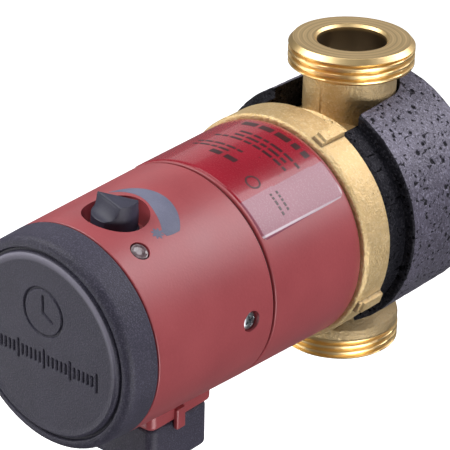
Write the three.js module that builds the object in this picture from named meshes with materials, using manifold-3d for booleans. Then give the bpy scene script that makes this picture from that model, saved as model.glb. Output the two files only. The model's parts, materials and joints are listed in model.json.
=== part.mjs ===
// A wet-rotor circulator pump for drinking-water circulation: cast brass housing with two threaded
// ports in line, a canned motor under a painted sleeve, a thermostat knob, a timer under the end cap
// and a mains plug below. Millimetres. Z is the pipe axis, Y is the motor axis with the motor
// towards -Y, and the origin is where the two axes cross.
import * as THREE from "three";
import { mergeVertices } from "three/addons/utils/BufferGeometryUtils.js";
import Module from "manifold-3d";

const wasm = await Module();
wasm.setup();

// ---------------------------------------------------------------- driving sizes
const GAP = 0.3; // left between pieces that touch
const COARSE = 16; // facets of a small round piece
const MEDIUM = 28;
const FINE = 44; // facets of the outer casings

const PORT_REACH = 55; // pipe axis centre to each sealing face
const THREAD_R = 20.95; // G 1 1/4 major radius
const THREAD_PITCH = 2.309;
const THREAD_DEPTH = 1.2;
const FACE_R = 19.5;
const BORE_R = 11.6;
const NECK_R = 15.5;

const HOUSING_R = 32;
const SPIGOT_R = 34.6; // the housing's threaded spigot, inside the union ring
const SPIGOT_FRONT_Y = -34.8;
const SPIGOT_BACK_Y = -18.6;

const RING_R = 38.85;
const RING_FRONT_Y = -40.4;
const RING_BACK_Y = -27.4;
const LUG_COUNT = 4;
const LUG_START_DEG = 25.5;
const LUG_WIDTH = 4.4;
const LUG_HEIGHT = 2.2;

const SHELL_R = 41.5;
const SHELL_FRONT_Y = -18;
const SHELL_BACK_Y = 21.3;
const COLLAR_R = 38.2; // foam collar round the housing spigot
const COLLAR_FRONT_Y = -27;

const SLEEVE_BACK_Y = -40.8; // painted motor sleeve
const SLEEVE_BACK_R = 37.3;
const SEAM_Y = -82.4;
const SEAM_HALF = 0.5;
const SEAM_R = 36;
const CONTROL_FRONT_Y = -132.4;
const CONTROL_FRONT_R = 34.05;
const WALL = 2.4;

const CAP_FRONT_Y = -145;
const CAP_DISC_R = 29.2;

const SHAFT_R = 3;
const BEARING_CLEARANCE = 0.1;
const CAN_R = 17;
const CAN_WALL = 0.8;
const CAN_FLANGE_Y = -35.1;

const KNOB_DEG = 5; // angles are measured round the motor axis from the top towards +X
const KNOB_Y = -117;
const KNOB_WELL_R = 10.1;
const KNOB_WELL_FLOOR_R = 27;
const KNOB_R = 7.3;
const KNOB_RIM_TOP_R = 34.4;
const STEM_R = 2.2;
const LAMP_DEG = 32;
const LAMP_Y = -123.2;
const LAMP_R = 2.8;
const SCREW_Y = -92.8;
const SCREW_HEAD_R = 2.9;

const PLUG_Y = -102.5;
const SOCKET = { halfX: 15, halfY: 12, top: -20, bottom: -36, wall: 2.3 };
const PIN_X = [-7, 0, 7];

const PINS_PER_SET = 12;
const PIN_SETS = 4;

// ---------------------------------------------------------------- materials
function finish(color, roughness, metalness) {
  return new THREE.MeshStandardMaterial({ color, roughness, metalness });
}

const COLOURS = {
  brass: [0xd2ae6b, 0.4, 1],
  foam: [0x34323a, 0.9, 0],
  redPaint: [0xa5484e, 0.45, 0.1],
  labelRed: [0xa3142a, 0.3, 0],
  blackPlastic: [0x38383f, 0.6, 0],
  slatePlastic: [0x3f4356, 0.5, 0],
  lens: [0x9b7f86, 0.25, 0],
  steel: [0xa8abad, 0.35, 1],
  stainless: [0xb9bcc0, 0.3, 1],
  rubber: [0x1b1b1d, 0.85, 0],
  ceramic: [0xe9e6df, 0.4, 0],
  carbon: [0x2b2b2e, 0.5, 0],
  ferrite: [0x3b3a3c, 0.6, 0.2],
  lamination: [0x6f7378, 0.5, 1],
  copper: [0xb4622c, 0.4, 1],
  noryl: [0x8c8f92, 0.6, 0],
  board: [0x1f6b3c, 0.6, 0],
  capacitor: [0x2c5fa8, 0.5, 0],
  ivory: [0xd9d3c3, 0.6, 0],
};

const root = new THREE.Group();

function piece(name, geometry, colour) {
  const mesh = new THREE.Mesh(geometry, finish(...COLOURS[colour]));
  mesh.name = name;
  root.add(mesh);
  return mesh;
}

// ---------------------------------------------------------------- shape helpers
// A closed body turned round Y from [radius, y] points that end on the axis or close on themselves.
function turned(points, segments = FINE) {
  const closes = points[0][0] > 0 || points[points.length - 1][0] > 0;
  const loop = closes ? [...points, points[0]] : points;
  const area = loop.reduce((sum, [r, y], i) => {
    const [nextR, nextY] = loop[(i + 1) % loop.length];
    return sum + r * nextY - nextR * y;
  }, 0);
  const outward = area > 0 ? loop : [...loop].reverse();
  return new THREE.LatheGeometry(outward.map(([r, y]) => new THREE.Vector2(r, y)), segments);
}

// The same, turned round the pipe axis from [radius, z] points.
function turnedOnPipe(points, segments = FINE) {
  return turned(points, segments).rotateX(Math.PI / 2);
}

function ringBand(innerR, outerR, lowY, highY, segments = FINE) {
  return turned([[innerR, lowY], [outerR, lowY], [outerR, highY], [innerR, highY]], segments);
}

function rod(radius, lowY, highY, segments = COARSE) {
  const cylinder = new THREE.CylinderGeometry(radius, radius, highY - lowY, segments);
  return cylinder.translate(0, (lowY + highY) / 2, 0);
}

function block(low, high) {
  const size = high.map((value, i) => value - low[i]);
  const centre = high.map((value, i) => (value + low[i]) / 2);
  return new THREE.BoxGeometry(...size).translate(...centre);
}

// A flat shape in the X-Z plane, given depth along the motor axis from lowY to highY.
function extrudedOnMotor(shape, lowY, highY, curveSegments = 12) {
  const settings = { depth: highY - lowY, bevelEnabled: false, curveSegments };
  return new THREE.ExtrudeGeometry(shape, settings).rotateX(Math.PI / 2).translate(0, highY, 0);
}

// Turns a piece drawn round its own Y axis so that the axis points out of the motor axis at an angle.
function pointedOut(angleDeg, y) {
  const angle = THREE.MathUtils.degToRad(angleDeg);
  const outward = new THREE.Vector3(Math.sin(angle), 0, Math.cos(angle));
  const across = new THREE.Vector3(Math.cos(angle), 0, -Math.sin(angle));
  const along = new THREE.Vector3(0, -1, 0);
  return new THREE.Matrix4().makeBasis(across, outward, along).setPosition(0, y, 0);
}

// Radius of the painted casings at a place on the motor axis.
function casingR(y) {
  if (y > SEAM_Y) return THREE.MathUtils.mapLinear(y, SEAM_Y, SLEEVE_BACK_Y, SEAM_R, SLEEVE_BACK_R);
  return THREE.MathUtils.mapLinear(y, CONTROL_FRONT_Y, SEAM_Y, CONTROL_FRONT_R, SEAM_R);
}

// ---------------------------------------------------------------- booleans
function solidOf(geometry) {
  const plain = new THREE.BufferGeometry();
  plain.setAttribute("position", geometry.getAttribute("position"));
  if (geometry.index) plain.setIndex(geometry.index);
  const merged = mergeVertices(plain, 1e-4);
  return new wasm.Manifold(
    new wasm.Mesh({
      numProp: 3,
      vertProperties: merged.getAttribute("position").array,
      triVerts: new Uint32Array(merged.index.array),
    }),
  );
}

function geometryOf(solid) {
  const mesh = solid.getMesh();
  const geometry = new THREE.BufferGeometry();
  geometry.setAttribute("position", new THREE.BufferAttribute(mesh.vertProperties, 3));
  geometry.setIndex(new THREE.BufferAttribute(mesh.triVerts, 1));
  geometry.computeVertexNormals();
  return geometry;
}

function joined(first, ...others) {
  return geometryOf(others.reduce((sum, each) => sum.add(solidOf(each)), solidOf(first)));
}

function cutBy(body, ...tools) {
  return geometryOf(tools.reduce((rest, tool) => rest.subtract(solidOf(tool)), solidOf(body)));
}

function commonOf(first, second) {
  return geometryOf(solidOf(first).intersect(solidOf(second)));
}

// ---------------------------------------------------------------- wet end
// Ridges of the pipe thread, as [radius, z] points from zStart away from the pump.
function threadRidges(zStart, count) {
  const rootR = THREAD_R - THREAD_DEPTH;
  const ridges = Array.from({ length: count }, (_, i) => {
    const z = zStart + i * THREAD_PITCH;
    return [[rootR, z], [THREAD_R, z + 0.4 * THREAD_PITCH], [THREAD_R, z + 0.6 * THREAD_PITCH]];
  });
  return [...ridges.flat(), [rootR, zStart + count * THREAD_PITCH]];
}

function upperPort() {
  const threadStart = PORT_REACH - 1.9 - 3 * THREAD_PITCH;
  return turnedOnPipe([
    [0, 18], [NECK_R, 18], [NECK_R, threadStart - 2.4], [NECK_R + 1.1, threadStart - 0.6],
    [THREAD_R - THREAD_DEPTH - 0.2, threadStart - 0.3],
    ...threadRidges(threadStart, 3),
    [THREAD_R - 0.3, PORT_REACH - 1.7], [FACE_R, PORT_REACH], [0, PORT_REACH],
  ], FINE);
}

function lowerPort() {
  const threadStart = PORT_REACH - 3 * THREAD_PITCH;
  return turnedOnPipe([
    [0, 18], [NECK_R, 18], [NECK_R, 36], [17.2, 40.5], [20, 43.6], [20.6, 45], [20.6, threadStart - 0.5],
    ...threadRidges(threadStart, 3), [0, PORT_REACH],
  ], FINE).rotateX(Math.PI);
}

// Front chamber round the impeller, rear suction chamber behind it, and a passage from the front
// chamber to the upper bore.
function pumpHousing() {
  const body = turned([
    [0, 12.5], [HOUSING_R - 2, 12.5], [HOUSING_R, 10.5], [HOUSING_R, SPIGOT_BACK_Y],
    [SPIGOT_R, SPIGOT_BACK_Y], [SPIGOT_R, SPIGOT_FRONT_Y], [33.3, SPIGOT_FRONT_Y], [33.3, -32.6],
    [30.7, -32.6], [30.7, SPIGOT_FRONT_Y],
    [29.5, SPIGOT_FRONT_Y], [29.5, -31.8], [27, -31.8], [27, -16], [13.3, -16], [13.3, -12], [12, -12],
    [12, 8.5], [0, 8.5],
  ]);
  const frontChamber = rod(27, -31.8, -16, MEDIUM);
  const suctionChamber = rod(12, -12.5, 8.5, MEDIUM);
  const upperBore = rod(BORE_R, 17, PORT_REACH + 1, MEDIUM).rotateX(Math.PI / 2);
  const lowerBore = rod(BORE_R, 4, PORT_REACH + 1, MEDIUM).rotateX(-Math.PI / 2);
  const passages = [-7, 0, 7].map((x) => rod(4.5, -17, -8, COARSE).translate(x, 0, 21.5));
  const cast = joined(body, upperPort(), lowerPort());
  return cutBy(cast, frontChamber, suctionChamber, upperBore, lowerBore, ...passages);
}

function unionRing() {
  const ring = turned([
    [31.5, RING_FRONT_Y], [RING_R - 1, RING_FRONT_Y], [RING_R - 0.3, RING_FRONT_Y + 0.3],
    [RING_R, RING_FRONT_Y + 1], [RING_R, RING_BACK_Y], [SPIGOT_R + 0.4, RING_BACK_Y],
    [SPIGOT_R + 0.4, -37.4], [31.5, -37.4],
  ]);
  const lugs = Array.from({ length: LUG_COUNT }, (_, i) => {
    const angle = LUG_START_DEG + (i * 360) / LUG_COUNT;
    const lug = block([-LUG_WIDTH / 2, RING_R - 1.5, -5.7], [LUG_WIDTH / 2, RING_R + LUG_HEIGHT, 5.7]);
    return lug.applyMatrix4(pointedOut(angle, -33.4));
  });
  return joined(ring, ...lugs);
}

// Foam cup pushed on from behind, with a collar that reaches the union ring and a slot open to the
// front for each pipe neck.
function insulationShell() {
  const cup = turned([
    [33, SHELL_FRONT_Y], [SPIGOT_R + 0.3, SHELL_FRONT_Y], [SPIGOT_R + 0.3, COLLAR_FRONT_Y],
    [COLLAR_R, COLLAR_FRONT_Y], [COLLAR_R, SHELL_FRONT_Y],
    [SHELL_R - 0.6, SHELL_FRONT_Y], [SHELL_R, SHELL_FRONT_Y + 0.6],
    [SHELL_R, SHELL_BACK_Y - 1.5], [SHELL_R - 1.5, SHELL_BACK_Y], [0, SHELL_BACK_Y], [0, 13.2], [33, 13.2],
  ]);
  const slots = [[NECK_R + 0.6, 1], [NECK_R + 3.1, -1]].flatMap(([r, side]) => [
    rod(r, 17.5, 50, MEDIUM).rotateX((side * Math.PI) / 2),
    block([-r, COLLAR_FRONT_Y - 1, side > 0 ? 20 : -50], [r, 0, side > 0 ? 50 : -20]),
  ]);
  return cutBy(cup, ...slots);
}

function rotorCan() {
  const innerR = CAN_R - CAN_WALL;
  return turned([
    [0, -77.8], [8.3, -77.8], [8.3, -70.2], [innerR, -70.2], [innerR, CAN_FLANGE_Y], [34.2, CAN_FLANGE_Y],
    [34.2, CAN_FLANGE_Y - 2], [CAN_R, CAN_FLANGE_Y - 2], [CAN_R, -71], [9.1, -71], [9.1, -78.6], [0, -78.6],
  ], MEDIUM);
}

function bearingPlate() {
  return turned([
    [5.3, -40.2], [8.5, -40.2], [8.5, -34.6], [29.2, -34.6], [29.2, -32.1], [5.3, -32.1],
  ], MEDIUM);
}

// A backward-swept blade between the two shrouds.
function bladeShape() {
  const steps = 8;
  const halfThickness = 0.8;
  const edge = (side) =>
    Array.from({ length: steps + 1 }, (_, i) => {
      const t = i / steps;
      const radius = THREE.MathUtils.lerp(8.4, 23.4, t);
      const angle = 1.1 * t + (side * halfThickness) / radius;
      return new THREE.Vector2(radius * Math.cos(angle), radius * Math.sin(angle));
    });
  return new THREE.Shape([...edge(-1), ...edge(1).reverse()]);
}

function impeller() {
  const hub = ringBand(SHAFT_R + GAP, 6, -30.6, -21.5, COARSE);
  const backShroud = ringBand(5, 24, -30.6, -29, MEDIUM);
  const frontShroud = turned([
    [8.2, -22.4], [24, -22.4], [24, -20.8], [10, -20.8], [10, -13.4], [8.2, -13.4],
  ], MEDIUM);
  const blades = Array.from({ length: 6 }, (_, i) =>
    extrudedOnMotor(bladeShape(), -29.2, -22.2).rotateY((i * Math.PI) / 3),
  );
  return joined(hub, backShroud, frontShroud, ...blades);
}

function addWetEnd() {
  piece("pump_housing", pumpHousing(), "brass");
  piece("union_ring", unionRing(), "brass");
  piece("insulation_shell", insulationShell(), "foam");
  const oRing = new THREE.TorusGeometry(32, 1, 6, MEDIUM).rotateX(Math.PI / 2).translate(0, -33.9, 0);
  piece("housing_o_ring", oRing, "rubber");
  piece("neck_ring", ringBand(10.3, 13, -18.5, -12.3, MEDIUM), "stainless");
  piece("bearing_plate", bearingPlate(), "stainless");
  piece("front_bearing", ringBand(SHAFT_R + BEARING_CLEARANCE, 5, -40.2, -32.4, COARSE), "ceramic");
  piece("rear_bearing", ringBand(SHAFT_R + BEARING_CLEARANCE, 8, -77.5, -70.6, COARSE), "ceramic");
  piece("rotor_can", rotorCan(), "stainless");
  piece("rotor_shaft", rod(SHAFT_R, -76.6, -22, COARSE), "ceramic");
  piece("thrust_washer", ringBand(SHAFT_R + GAP, 6.5, -42.9, -40.5, COARSE), "carbon");
  piece("rotor_core", ringBand(SHAFT_R + GAP, 15.6, -69.4, -43.4, MEDIUM), "ferrite");
  piece("impeller", impeller(), "noryl");
}

// ---------------------------------------------------------------- check valve in the upper port
const VALVE_SEAT_Z = 30.5;
const VALVE_GUIDE_Z = 39.5;

function valveGuide() {
  const top = VALVE_GUIDE_Z + 2;
  const rimFoot = VALVE_SEAT_Z + GAP;
  const rim = turnedOnPipe([[10, rimFoot], [11.3, rimFoot], [11.3, top], [10, top]], MEDIUM);
  const hub = turnedOnPipe([[1.56, VALVE_GUIDE_Z], [3.4, VALVE_GUIDE_Z], [3.4, top], [1.56, top]], COARSE);
  const spokes = [0, 1, 2].map((i) =>
    block([3, -0.9, VALVE_GUIDE_Z], [10.6, 0.9, top]).rotateZ((i * 2 * Math.PI) / 3),
  );
  return joined(rim, hub, ...spokes);
}

function valvePoppet() {
  return turnedOnPipe([
    [0, VALVE_SEAT_Z + GAP], [8.4, VALVE_SEAT_Z + GAP], [8.6, VALVE_SEAT_Z + 1.8], [1.5, VALVE_SEAT_Z + 2.2],
    [1.5, VALVE_GUIDE_Z + 2.4], [0, VALVE_GUIDE_Z + 2.4],
  ], COARSE);
}

class Helix extends THREE.Curve {
  constructor(radius, lowZ, highZ, turns) {
    super();
    Object.assign(this, { radius, lowZ, highZ, turns });
  }
  getPoint(t, target = new THREE.Vector3()) {
    const angle = 2 * Math.PI * this.turns * t;
    const z = THREE.MathUtils.lerp(this.lowZ, this.highZ, t);
    return target.set(this.radius * Math.cos(angle), this.radius * Math.sin(angle), z);
  }
}

function valveSpring() {
  const wire = new THREE.Shape().absarc(0, 0, 0.35, 0, 2 * Math.PI);
  const path = new Helix(5, VALVE_SEAT_Z + 2.9, VALVE_GUIDE_Z - 0.8, 4);
  return new THREE.ExtrudeGeometry(wire, {
    steps: 44,
    extrudePath: path,
    curveSegments: 3,
    bevelEnabled: false,
  });
}

function addCheckValve() {
  const seat = turnedOnPipe([
    [7, 27.5], [11.3, 27.5], [11.3, VALVE_SEAT_Z], [7.6, VALVE_SEAT_Z],
  ], MEDIUM);
  piece("check_valve_seat", seat, "ivory");
  piece("check_valve_guide", valveGuide(), "ivory");
  piece("check_valve_poppet", valvePoppet(), "rubber");
  piece("check_valve_spring", valveSpring(), "stainless");
}

// ---------------------------------------------------------------- motor
function statorCore() {
  const outline = new THREE.Shape().absarc(0, 0, 32.4, 0, 2 * Math.PI);
  outline.holes.push(new THREE.Path().absarc(0, 0, CAN_R + 0.4, 0, 2 * Math.PI));
  for (let i = 0; i < 6; i += 1) {
    const angle = (i * Math.PI) / 3;
    const [x, z] = [22.6 * Math.cos(angle), 22.6 * Math.sin(angle)];
    outline.holes.push(new THREE.Path().absarc(x, z, 3.6, 0, 2 * Math.PI));
  }
  return extrudedOnMotor(outline, -70, -48, 14);
}

function statorWinding() {
  const endTurns = [[-48.4, -42], [-76, -69.6]].map(([low, high]) =>
    turned([
      [19, low + GAP], [27, low + GAP], [27, high - 1], [26, high], [20, high], [19, high - 1],
    ], MEDIUM),
  );
  endTurns[0].translate(0, 0.4, 0);
  endTurns[1].translate(0, -0.7, 0);
  const coilSides = Array.from({ length: 6 }, (_, i) => {
    const angle = (i * Math.PI) / 3;
    return rod(3.2, -73, -45, 12).translate(22.6 * Math.cos(angle), 0, 22.6 * Math.sin(angle));
  });
  return joined(endTurns[0], endTurns[1], ...coilSides);
}

function labelBand(inset, outset, halfGap) {
  const low = SEAM_Y + SEAM_HALF + 1 - halfGap;
  const high = SLEEVE_BACK_Y - 1 + halfGap;
  const band = turned([
    [casingR(low) - inset, low], [casingR(low) + outset, low],
    [casingR(high) + outset, high], [casingR(high) - inset, high],
  ]);
  const sector = new THREE.Shape();
  sector.moveTo(0, 0);
  const [from, to] = [-40 - halfGap, 55 + halfGap];
  for (let i = 0; i <= 6; i += 1) {
    const angle = THREE.MathUtils.degToRad(THREE.MathUtils.lerp(from, to, i / 6));
    sector.lineTo(50 * Math.sin(angle), 50 * Math.cos(angle));
  }
  return commonOf(band, extrudedOnMotor(sector, low - 1, high + 1));
}

function screwLug(side) {
  const arm = block([27, -98, -5], [30.2, -76, 5]);
  const foot = block([28, SEAM_Y + SEAM_HALF, -5], [34.4, -76, 5]);
  const lug = joined(arm, foot);
  return side > 0 ? lug : lug.rotateY(Math.PI);
}

function screwHole(side, radius, from, to) {
  return rod(radius, from, to).applyMatrix4(pointedOut(side * 90, SCREW_Y));
}

function statorHousing() {
  const sleeveEnd = SEAM_Y + SEAM_HALF;
  const sleeve = turned([
    [SLEEVE_BACK_R - 0.5, SLEEVE_BACK_Y], [SLEEVE_BACK_R, SLEEVE_BACK_Y - 0.5], [SEAM_R, sleeveEnd + 0.4],
    [SEAM_R - 0.4, sleeveEnd], [33.2, sleeveEnd], [33.4, -43.2], [28, -43.2], [28, -37.5], [31, -37.5],
    [31, SLEEVE_BACK_Y],
  ]);
  const holes = [-1, 1].map((side) => screwHole(side, 1.7, 25, 32));
  return cutBy(joined(sleeve, screwLug(1), screwLug(-1)), ...holes, labelBand(0.65, 1, GAP));
}

function addMotor() {
  piece("stator_core", statorCore(), "lamination");
  piece("stator_winding", statorWinding(), "copper");
  piece("stator_end_plate", ringBand(12, 26.6, -81.6, -79.8, MEDIUM), "noryl");
  piece("stator_housing", statorHousing(), "redPaint");
  piece("rating_label", labelBand(0.35, -0.05, 0), "labelRed");
  piece("seam_gasket", ringBand(33.7, 35.3, SEAM_Y - 0.2, SEAM_Y + 0.2), "rubber");
  piece("temperature_sensor", rod(3, -41.2, -37.5).translate(0, 0, -22.6), "brass");
}

// ---------------------------------------------------------------- control end
function socketWalls() {
  const { halfX, halfY, top, bottom, wall } = SOCKET;
  const [outX, outY] = [halfX + wall, halfY + wall];
  const outside = block([-outX, PLUG_Y - outY, bottom], [outX, PLUG_Y + outY, top + wall]);
  const latch = block([outX - 0.5, PLUG_Y - 4, bottom - 2.8], [outX + 1.3, PLUG_Y, bottom + 4]);
  return joined(outside, latch);
}

function socketRoom() {
  const { halfX, halfY, top, bottom } = SOCKET;
  return block([-halfX, PLUG_Y - halfY, bottom - 1], [halfX, PLUG_Y + halfY, top]);
}

function controlHousing() {
  const back = SEAM_Y - SEAM_HALF;
  const sleeve = turned([
    [SEAM_R - 0.4, back], [SEAM_R, back - 0.4], [CONTROL_FRONT_R, CONTROL_FRONT_Y + 0.4],
    [CONTROL_FRONT_R - 0.4, CONTROL_FRONT_Y], [CONTROL_FRONT_R - WALL, CONTROL_FRONT_Y], [33.5, back],
  ]);
  const knobPad = rod(11.7, 24.6, 33, MEDIUM).applyMatrix4(pointedOut(KNOB_DEG, KNOB_Y));
  const knobWell = rod(KNOB_WELL_R, KNOB_WELL_FLOOR_R, 40, MEDIUM).applyMatrix4(pointedOut(KNOB_DEG, KNOB_Y));
  const stemHole = rod(STEM_R + 0.4, 20, 30).applyMatrix4(pointedOut(KNOB_DEG, KNOB_Y));
  const lampHole = rod(LAMP_R + GAP, 28, 40).applyMatrix4(pointedOut(LAMP_DEG, LAMP_Y));
  const screwPads = [-1, 1].map((side) => screwHole(side, 5, 30.6, 34));
  const screwWells = [-1, 1].flatMap((side) => [
    screwHole(side, SCREW_HEAD_R + 0.5, 32.6, 40),
    screwHole(side, 1.7, 28, 36),
  ]);
  const pinHoles = PIN_X.map((x) => rod(1.5, -24, -14).rotateX(Math.PI / 2).translate(x, PLUG_Y, 0));
  const whole = joined(sleeve, knobPad, ...screwPads, socketWalls());
  return cutBy(whole, knobWell, stemHole, lampHole, ...screwWells, socketRoom(), ...pinHoles);
}

function thermostatKnob() {
  const skirt = turned([
    [0, KNOB_WELL_FLOOR_R + 0.5], [KNOB_R, KNOB_WELL_FLOOR_R + 0.5], [KNOB_R, KNOB_RIM_TOP_R - 0.4],
    [KNOB_R - 0.4, KNOB_RIM_TOP_R], [0, KNOB_RIM_TOP_R],
  ], MEDIUM);
  const stem = rod(STEM_R, 20, 28);
  const outline = new THREE.Shape([
    new THREE.Vector2(-6.9, 0.9), new THREE.Vector2(5.1, -4.3),
    new THREE.Vector2(5.9, -0.4), new THREE.Vector2(4.7, 3.5),
  ]);
  return joined(skirt, stem, extrudedOnMotor(outline, 32, 39));
}

function crossScrew(headR, headTop, headBase, tip) {
  const body = turned([
    [0, headTop], [headR - 0.8, headTop], [headR, headTop - 0.8], [headR, headBase], [1.4, headBase],
    [1.4, tip + 1.2], [0, tip],
  ], COARSE);
  const slots = [0, 1].map((i) => {
    const slot = block([-1.7, headTop - 1.2, -0.4], [1.7, headTop + 1, 0.4]);
    return slot.rotateY((i * Math.PI) / 2);
  });
  return cutBy(body, ...slots);
}

function addControlEnd() {
  piece("control_housing", controlHousing(), "redPaint");
  const knob = piece("thermostat_knob", thermostatKnob(), "slatePlastic");
  knob.applyMatrix4(pointedOut(KNOB_DEG, KNOB_Y));
  const dialPot = cutBy(block([-6.5, 18, -6.5], [6.5, 24.3, 6.5]), rod(STEM_R + 0.06, 19.4, 30));
  piece("thermostat_potentiometer", dialPot, "board").applyMatrix4(pointedOut(KNOB_DEG, KNOB_Y));
  const lamp = turned([[0, 30], [LAMP_R, 30], [LAMP_R, 33.6], [1.6, 34.2], [0, 34.3]], COARSE);
  piece("status_lamp", lamp, "lens").applyMatrix4(pointedOut(LAMP_DEG, LAMP_Y));
  for (const [name, side] of [["housing_screw_right", 1], ["housing_screw_left", -1]]) {
    piece(name, crossScrew(SCREW_HEAD_R, 35, 32.9, 24), "steel").applyMatrix4(pointedOut(side * 90, SCREW_Y));
  }
  piece("control_board", block([-22, -86.6, -20], [22, -85, 22]), "board");
  piece("run_capacitor", rod(8.5, -18, 18, MEDIUM).rotateZ(Math.PI / 2).translate(0, -98, 6), "capacitor");
  const contacts = PIN_X.map((x) => rod(1.1, -30, -16).rotateX(Math.PI / 2).translate(x, PLUG_Y, 0));
  const pinBlock = block([-11, PLUG_Y - 4.5, -17.4], [11, PLUG_Y + 4.5, -12]);
  piece("inlet_pin_block", joined(pinBlock, ...contacts), "ivory");
}

// ---------------------------------------------------------------- mains plug
function plugBody() {
  const { halfX, halfY, top, bottom } = SOCKET;
  const [inX, inY] = [halfX - GAP, halfY - GAP];
  const insert = block([-inX, PLUG_Y - inY, bottom - 2], [inX, PLUG_Y + inY, top - 0.4]);
  const grip = block([-16.6, PLUG_Y - 13.4, -52], [16.6, PLUG_Y + 13.4, bottom - GAP]);
  const spigot = rod(7.5, -57, -50).rotateX(Math.PI / 2).translate(0, PLUG_Y, 0);
  const sealRoom = rod(5.9, -60, -50).rotateX(Math.PI / 2).translate(0, PLUG_Y, 0);
  const cordWay = rod(3.6, -60, -42).rotateX(Math.PI / 2).translate(0, PLUG_Y, 0);
  const pinWays = PIN_X.map((x) => rod(1.5, -31, -15, 12).rotateX(Math.PI / 2).translate(x, PLUG_Y, 0));
  return cutBy(joined(insert, grip, spigot), sealRoom, cordWay, ...pinWays);
}

function cordNut() {
  return turnedOnPipe([
    [3.8, -61], [8.6, -61], [9.5, -59], [9.5, -52.3], [7.8, -52.3], [7.8, -57.3], [3.8, -57.3],
  ], 12)
    .translate(0, PLUG_Y, 0);
}

function addPlug() {
  piece("plug_body", plugBody(), "blackPlastic");
  const seal = turnedOnPipe([[3.4, -56.5], [5.6, -56.5], [5.6, -50.3], [3.4, -50.3]], COARSE);
  piece("cord_seal", seal.translate(0, PLUG_Y, 0), "rubber");
  piece("cord_nut", cordNut(), "blackPlastic");
}

// ---------------------------------------------------------------- timer and end cap
const DIAL_BACK_Y = -134.1;
const DIAL_FRONT_Y = -139.2;

function timerCase() {
  return turned([
    [27.4, -129.2], [29.5, -129.2], [29.5, -133.8], [2.06, -133.8], [2.06, -132], [27.4, -132],
  ], MEDIUM);
}

function timerDial() {
  return turned([
    [0, DIAL_FRONT_Y - 1], [6, DIAL_FRONT_Y - 1], [6.4, DIAL_FRONT_Y],
    [24.3, DIAL_FRONT_Y], [24.3, DIAL_BACK_Y - 1.2],
    [28.6, DIAL_BACK_Y - 1.2], [28.6, DIAL_BACK_Y], [2, DIAL_BACK_Y], [2, -130], [0, -130],
  ], MEDIUM);
}

// A quarter turn of switching pins, held together by their inner band.
function pinSetShape() {
  const span = Math.PI / 2;
  const arc = (radius, t) => new THREE.Vector2(radius * Math.cos(span * t), radius * Math.sin(span * t));
  const outline = [arc(25.1, 0.01), arc(25.1, 0.25), arc(25.1, 0.5), arc(25.1, 0.75), arc(25.1, 0.99)];
  for (let i = PINS_PER_SET - 1; i >= 0; i -= 1) {
    const [low, high] = [(i + 0.12) / PINS_PER_SET, (i + 0.88) / PINS_PER_SET];
    outline.push(arc(25.9, high), arc(28.4, high), arc(28.4, low), arc(25.9, low));
  }
  return new THREE.Shape(outline);
}

function endCap() {
  const rimR = CONTROL_FRONT_R;
  return turned([
    [0, -142.6], [29.9, -142.6], [29.9, -129.6], [31.2, -129.6], [31.2, -132.8], [rimR - 0.3, -132.8],
    [rimR, -133.2], [rimR - 0.6, -141.4], [rimR - 1.3, -143], [rimR - 3, -144], [30.4, -144], [30, -143.4],
    [CAP_DISC_R, -143.6], [CAP_DISC_R - 0.2, -144.6], [CAP_DISC_R - 1.2, CAP_FRONT_Y], [0, CAP_FRONT_Y],
  ]);
}

function addTimer() {
  piece("timer_case", timerCase(), "blackPlastic");
  piece("timer_motor", rod(11, -128.8, -121, MEDIUM).translate(0, 0, -8), "stainless");
  piece("timer_dial", timerDial(), "ivory");
  for (let i = 0; i < PIN_SETS; i += 1) {
    const set = extrudedOnMotor(pinSetShape(), DIAL_FRONT_Y, DIAL_BACK_Y - 1.5);
    piece(`switch_pins_${i + 1}`, set.rotateY((i * Math.PI) / 2), "redPaint");
  }
  piece("end_cap", endCap(), "blackPlastic");
}

addWetEnd();
addCheckValve();
addMotor();
addControlEnd();
addPlug();
addTimer();

export default root;
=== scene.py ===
import json
import math

import bpy
import numpy as np
from mathutils import Matrix, Vector


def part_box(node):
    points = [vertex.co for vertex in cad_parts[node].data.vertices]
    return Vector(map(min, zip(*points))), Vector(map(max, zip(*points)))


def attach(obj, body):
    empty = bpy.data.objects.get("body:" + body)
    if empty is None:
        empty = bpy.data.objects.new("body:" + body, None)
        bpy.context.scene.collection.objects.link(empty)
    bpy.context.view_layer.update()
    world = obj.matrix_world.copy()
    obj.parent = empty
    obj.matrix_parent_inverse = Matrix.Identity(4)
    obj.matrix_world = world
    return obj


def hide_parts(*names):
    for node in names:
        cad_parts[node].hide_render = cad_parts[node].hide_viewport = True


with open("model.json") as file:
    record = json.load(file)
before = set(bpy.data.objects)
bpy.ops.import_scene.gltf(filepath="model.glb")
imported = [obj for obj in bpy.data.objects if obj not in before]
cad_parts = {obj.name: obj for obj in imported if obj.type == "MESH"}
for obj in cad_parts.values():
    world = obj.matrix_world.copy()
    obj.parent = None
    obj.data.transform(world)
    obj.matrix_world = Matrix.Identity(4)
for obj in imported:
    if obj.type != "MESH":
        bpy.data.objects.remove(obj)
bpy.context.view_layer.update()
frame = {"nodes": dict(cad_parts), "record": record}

# Every length below is in millimetres until a mesh is written. Y is the motor axis with the motor
# towards -Y, Z is the pipe axis, and angles round the motor axis run from the top towards +X.
MM = 0.001


def corners(node):
    """Lowest and highest corner of a CAD node, in millimetres."""
    low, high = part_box(node)
    return np.array(low) / MM, np.array(high) / MM


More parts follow.
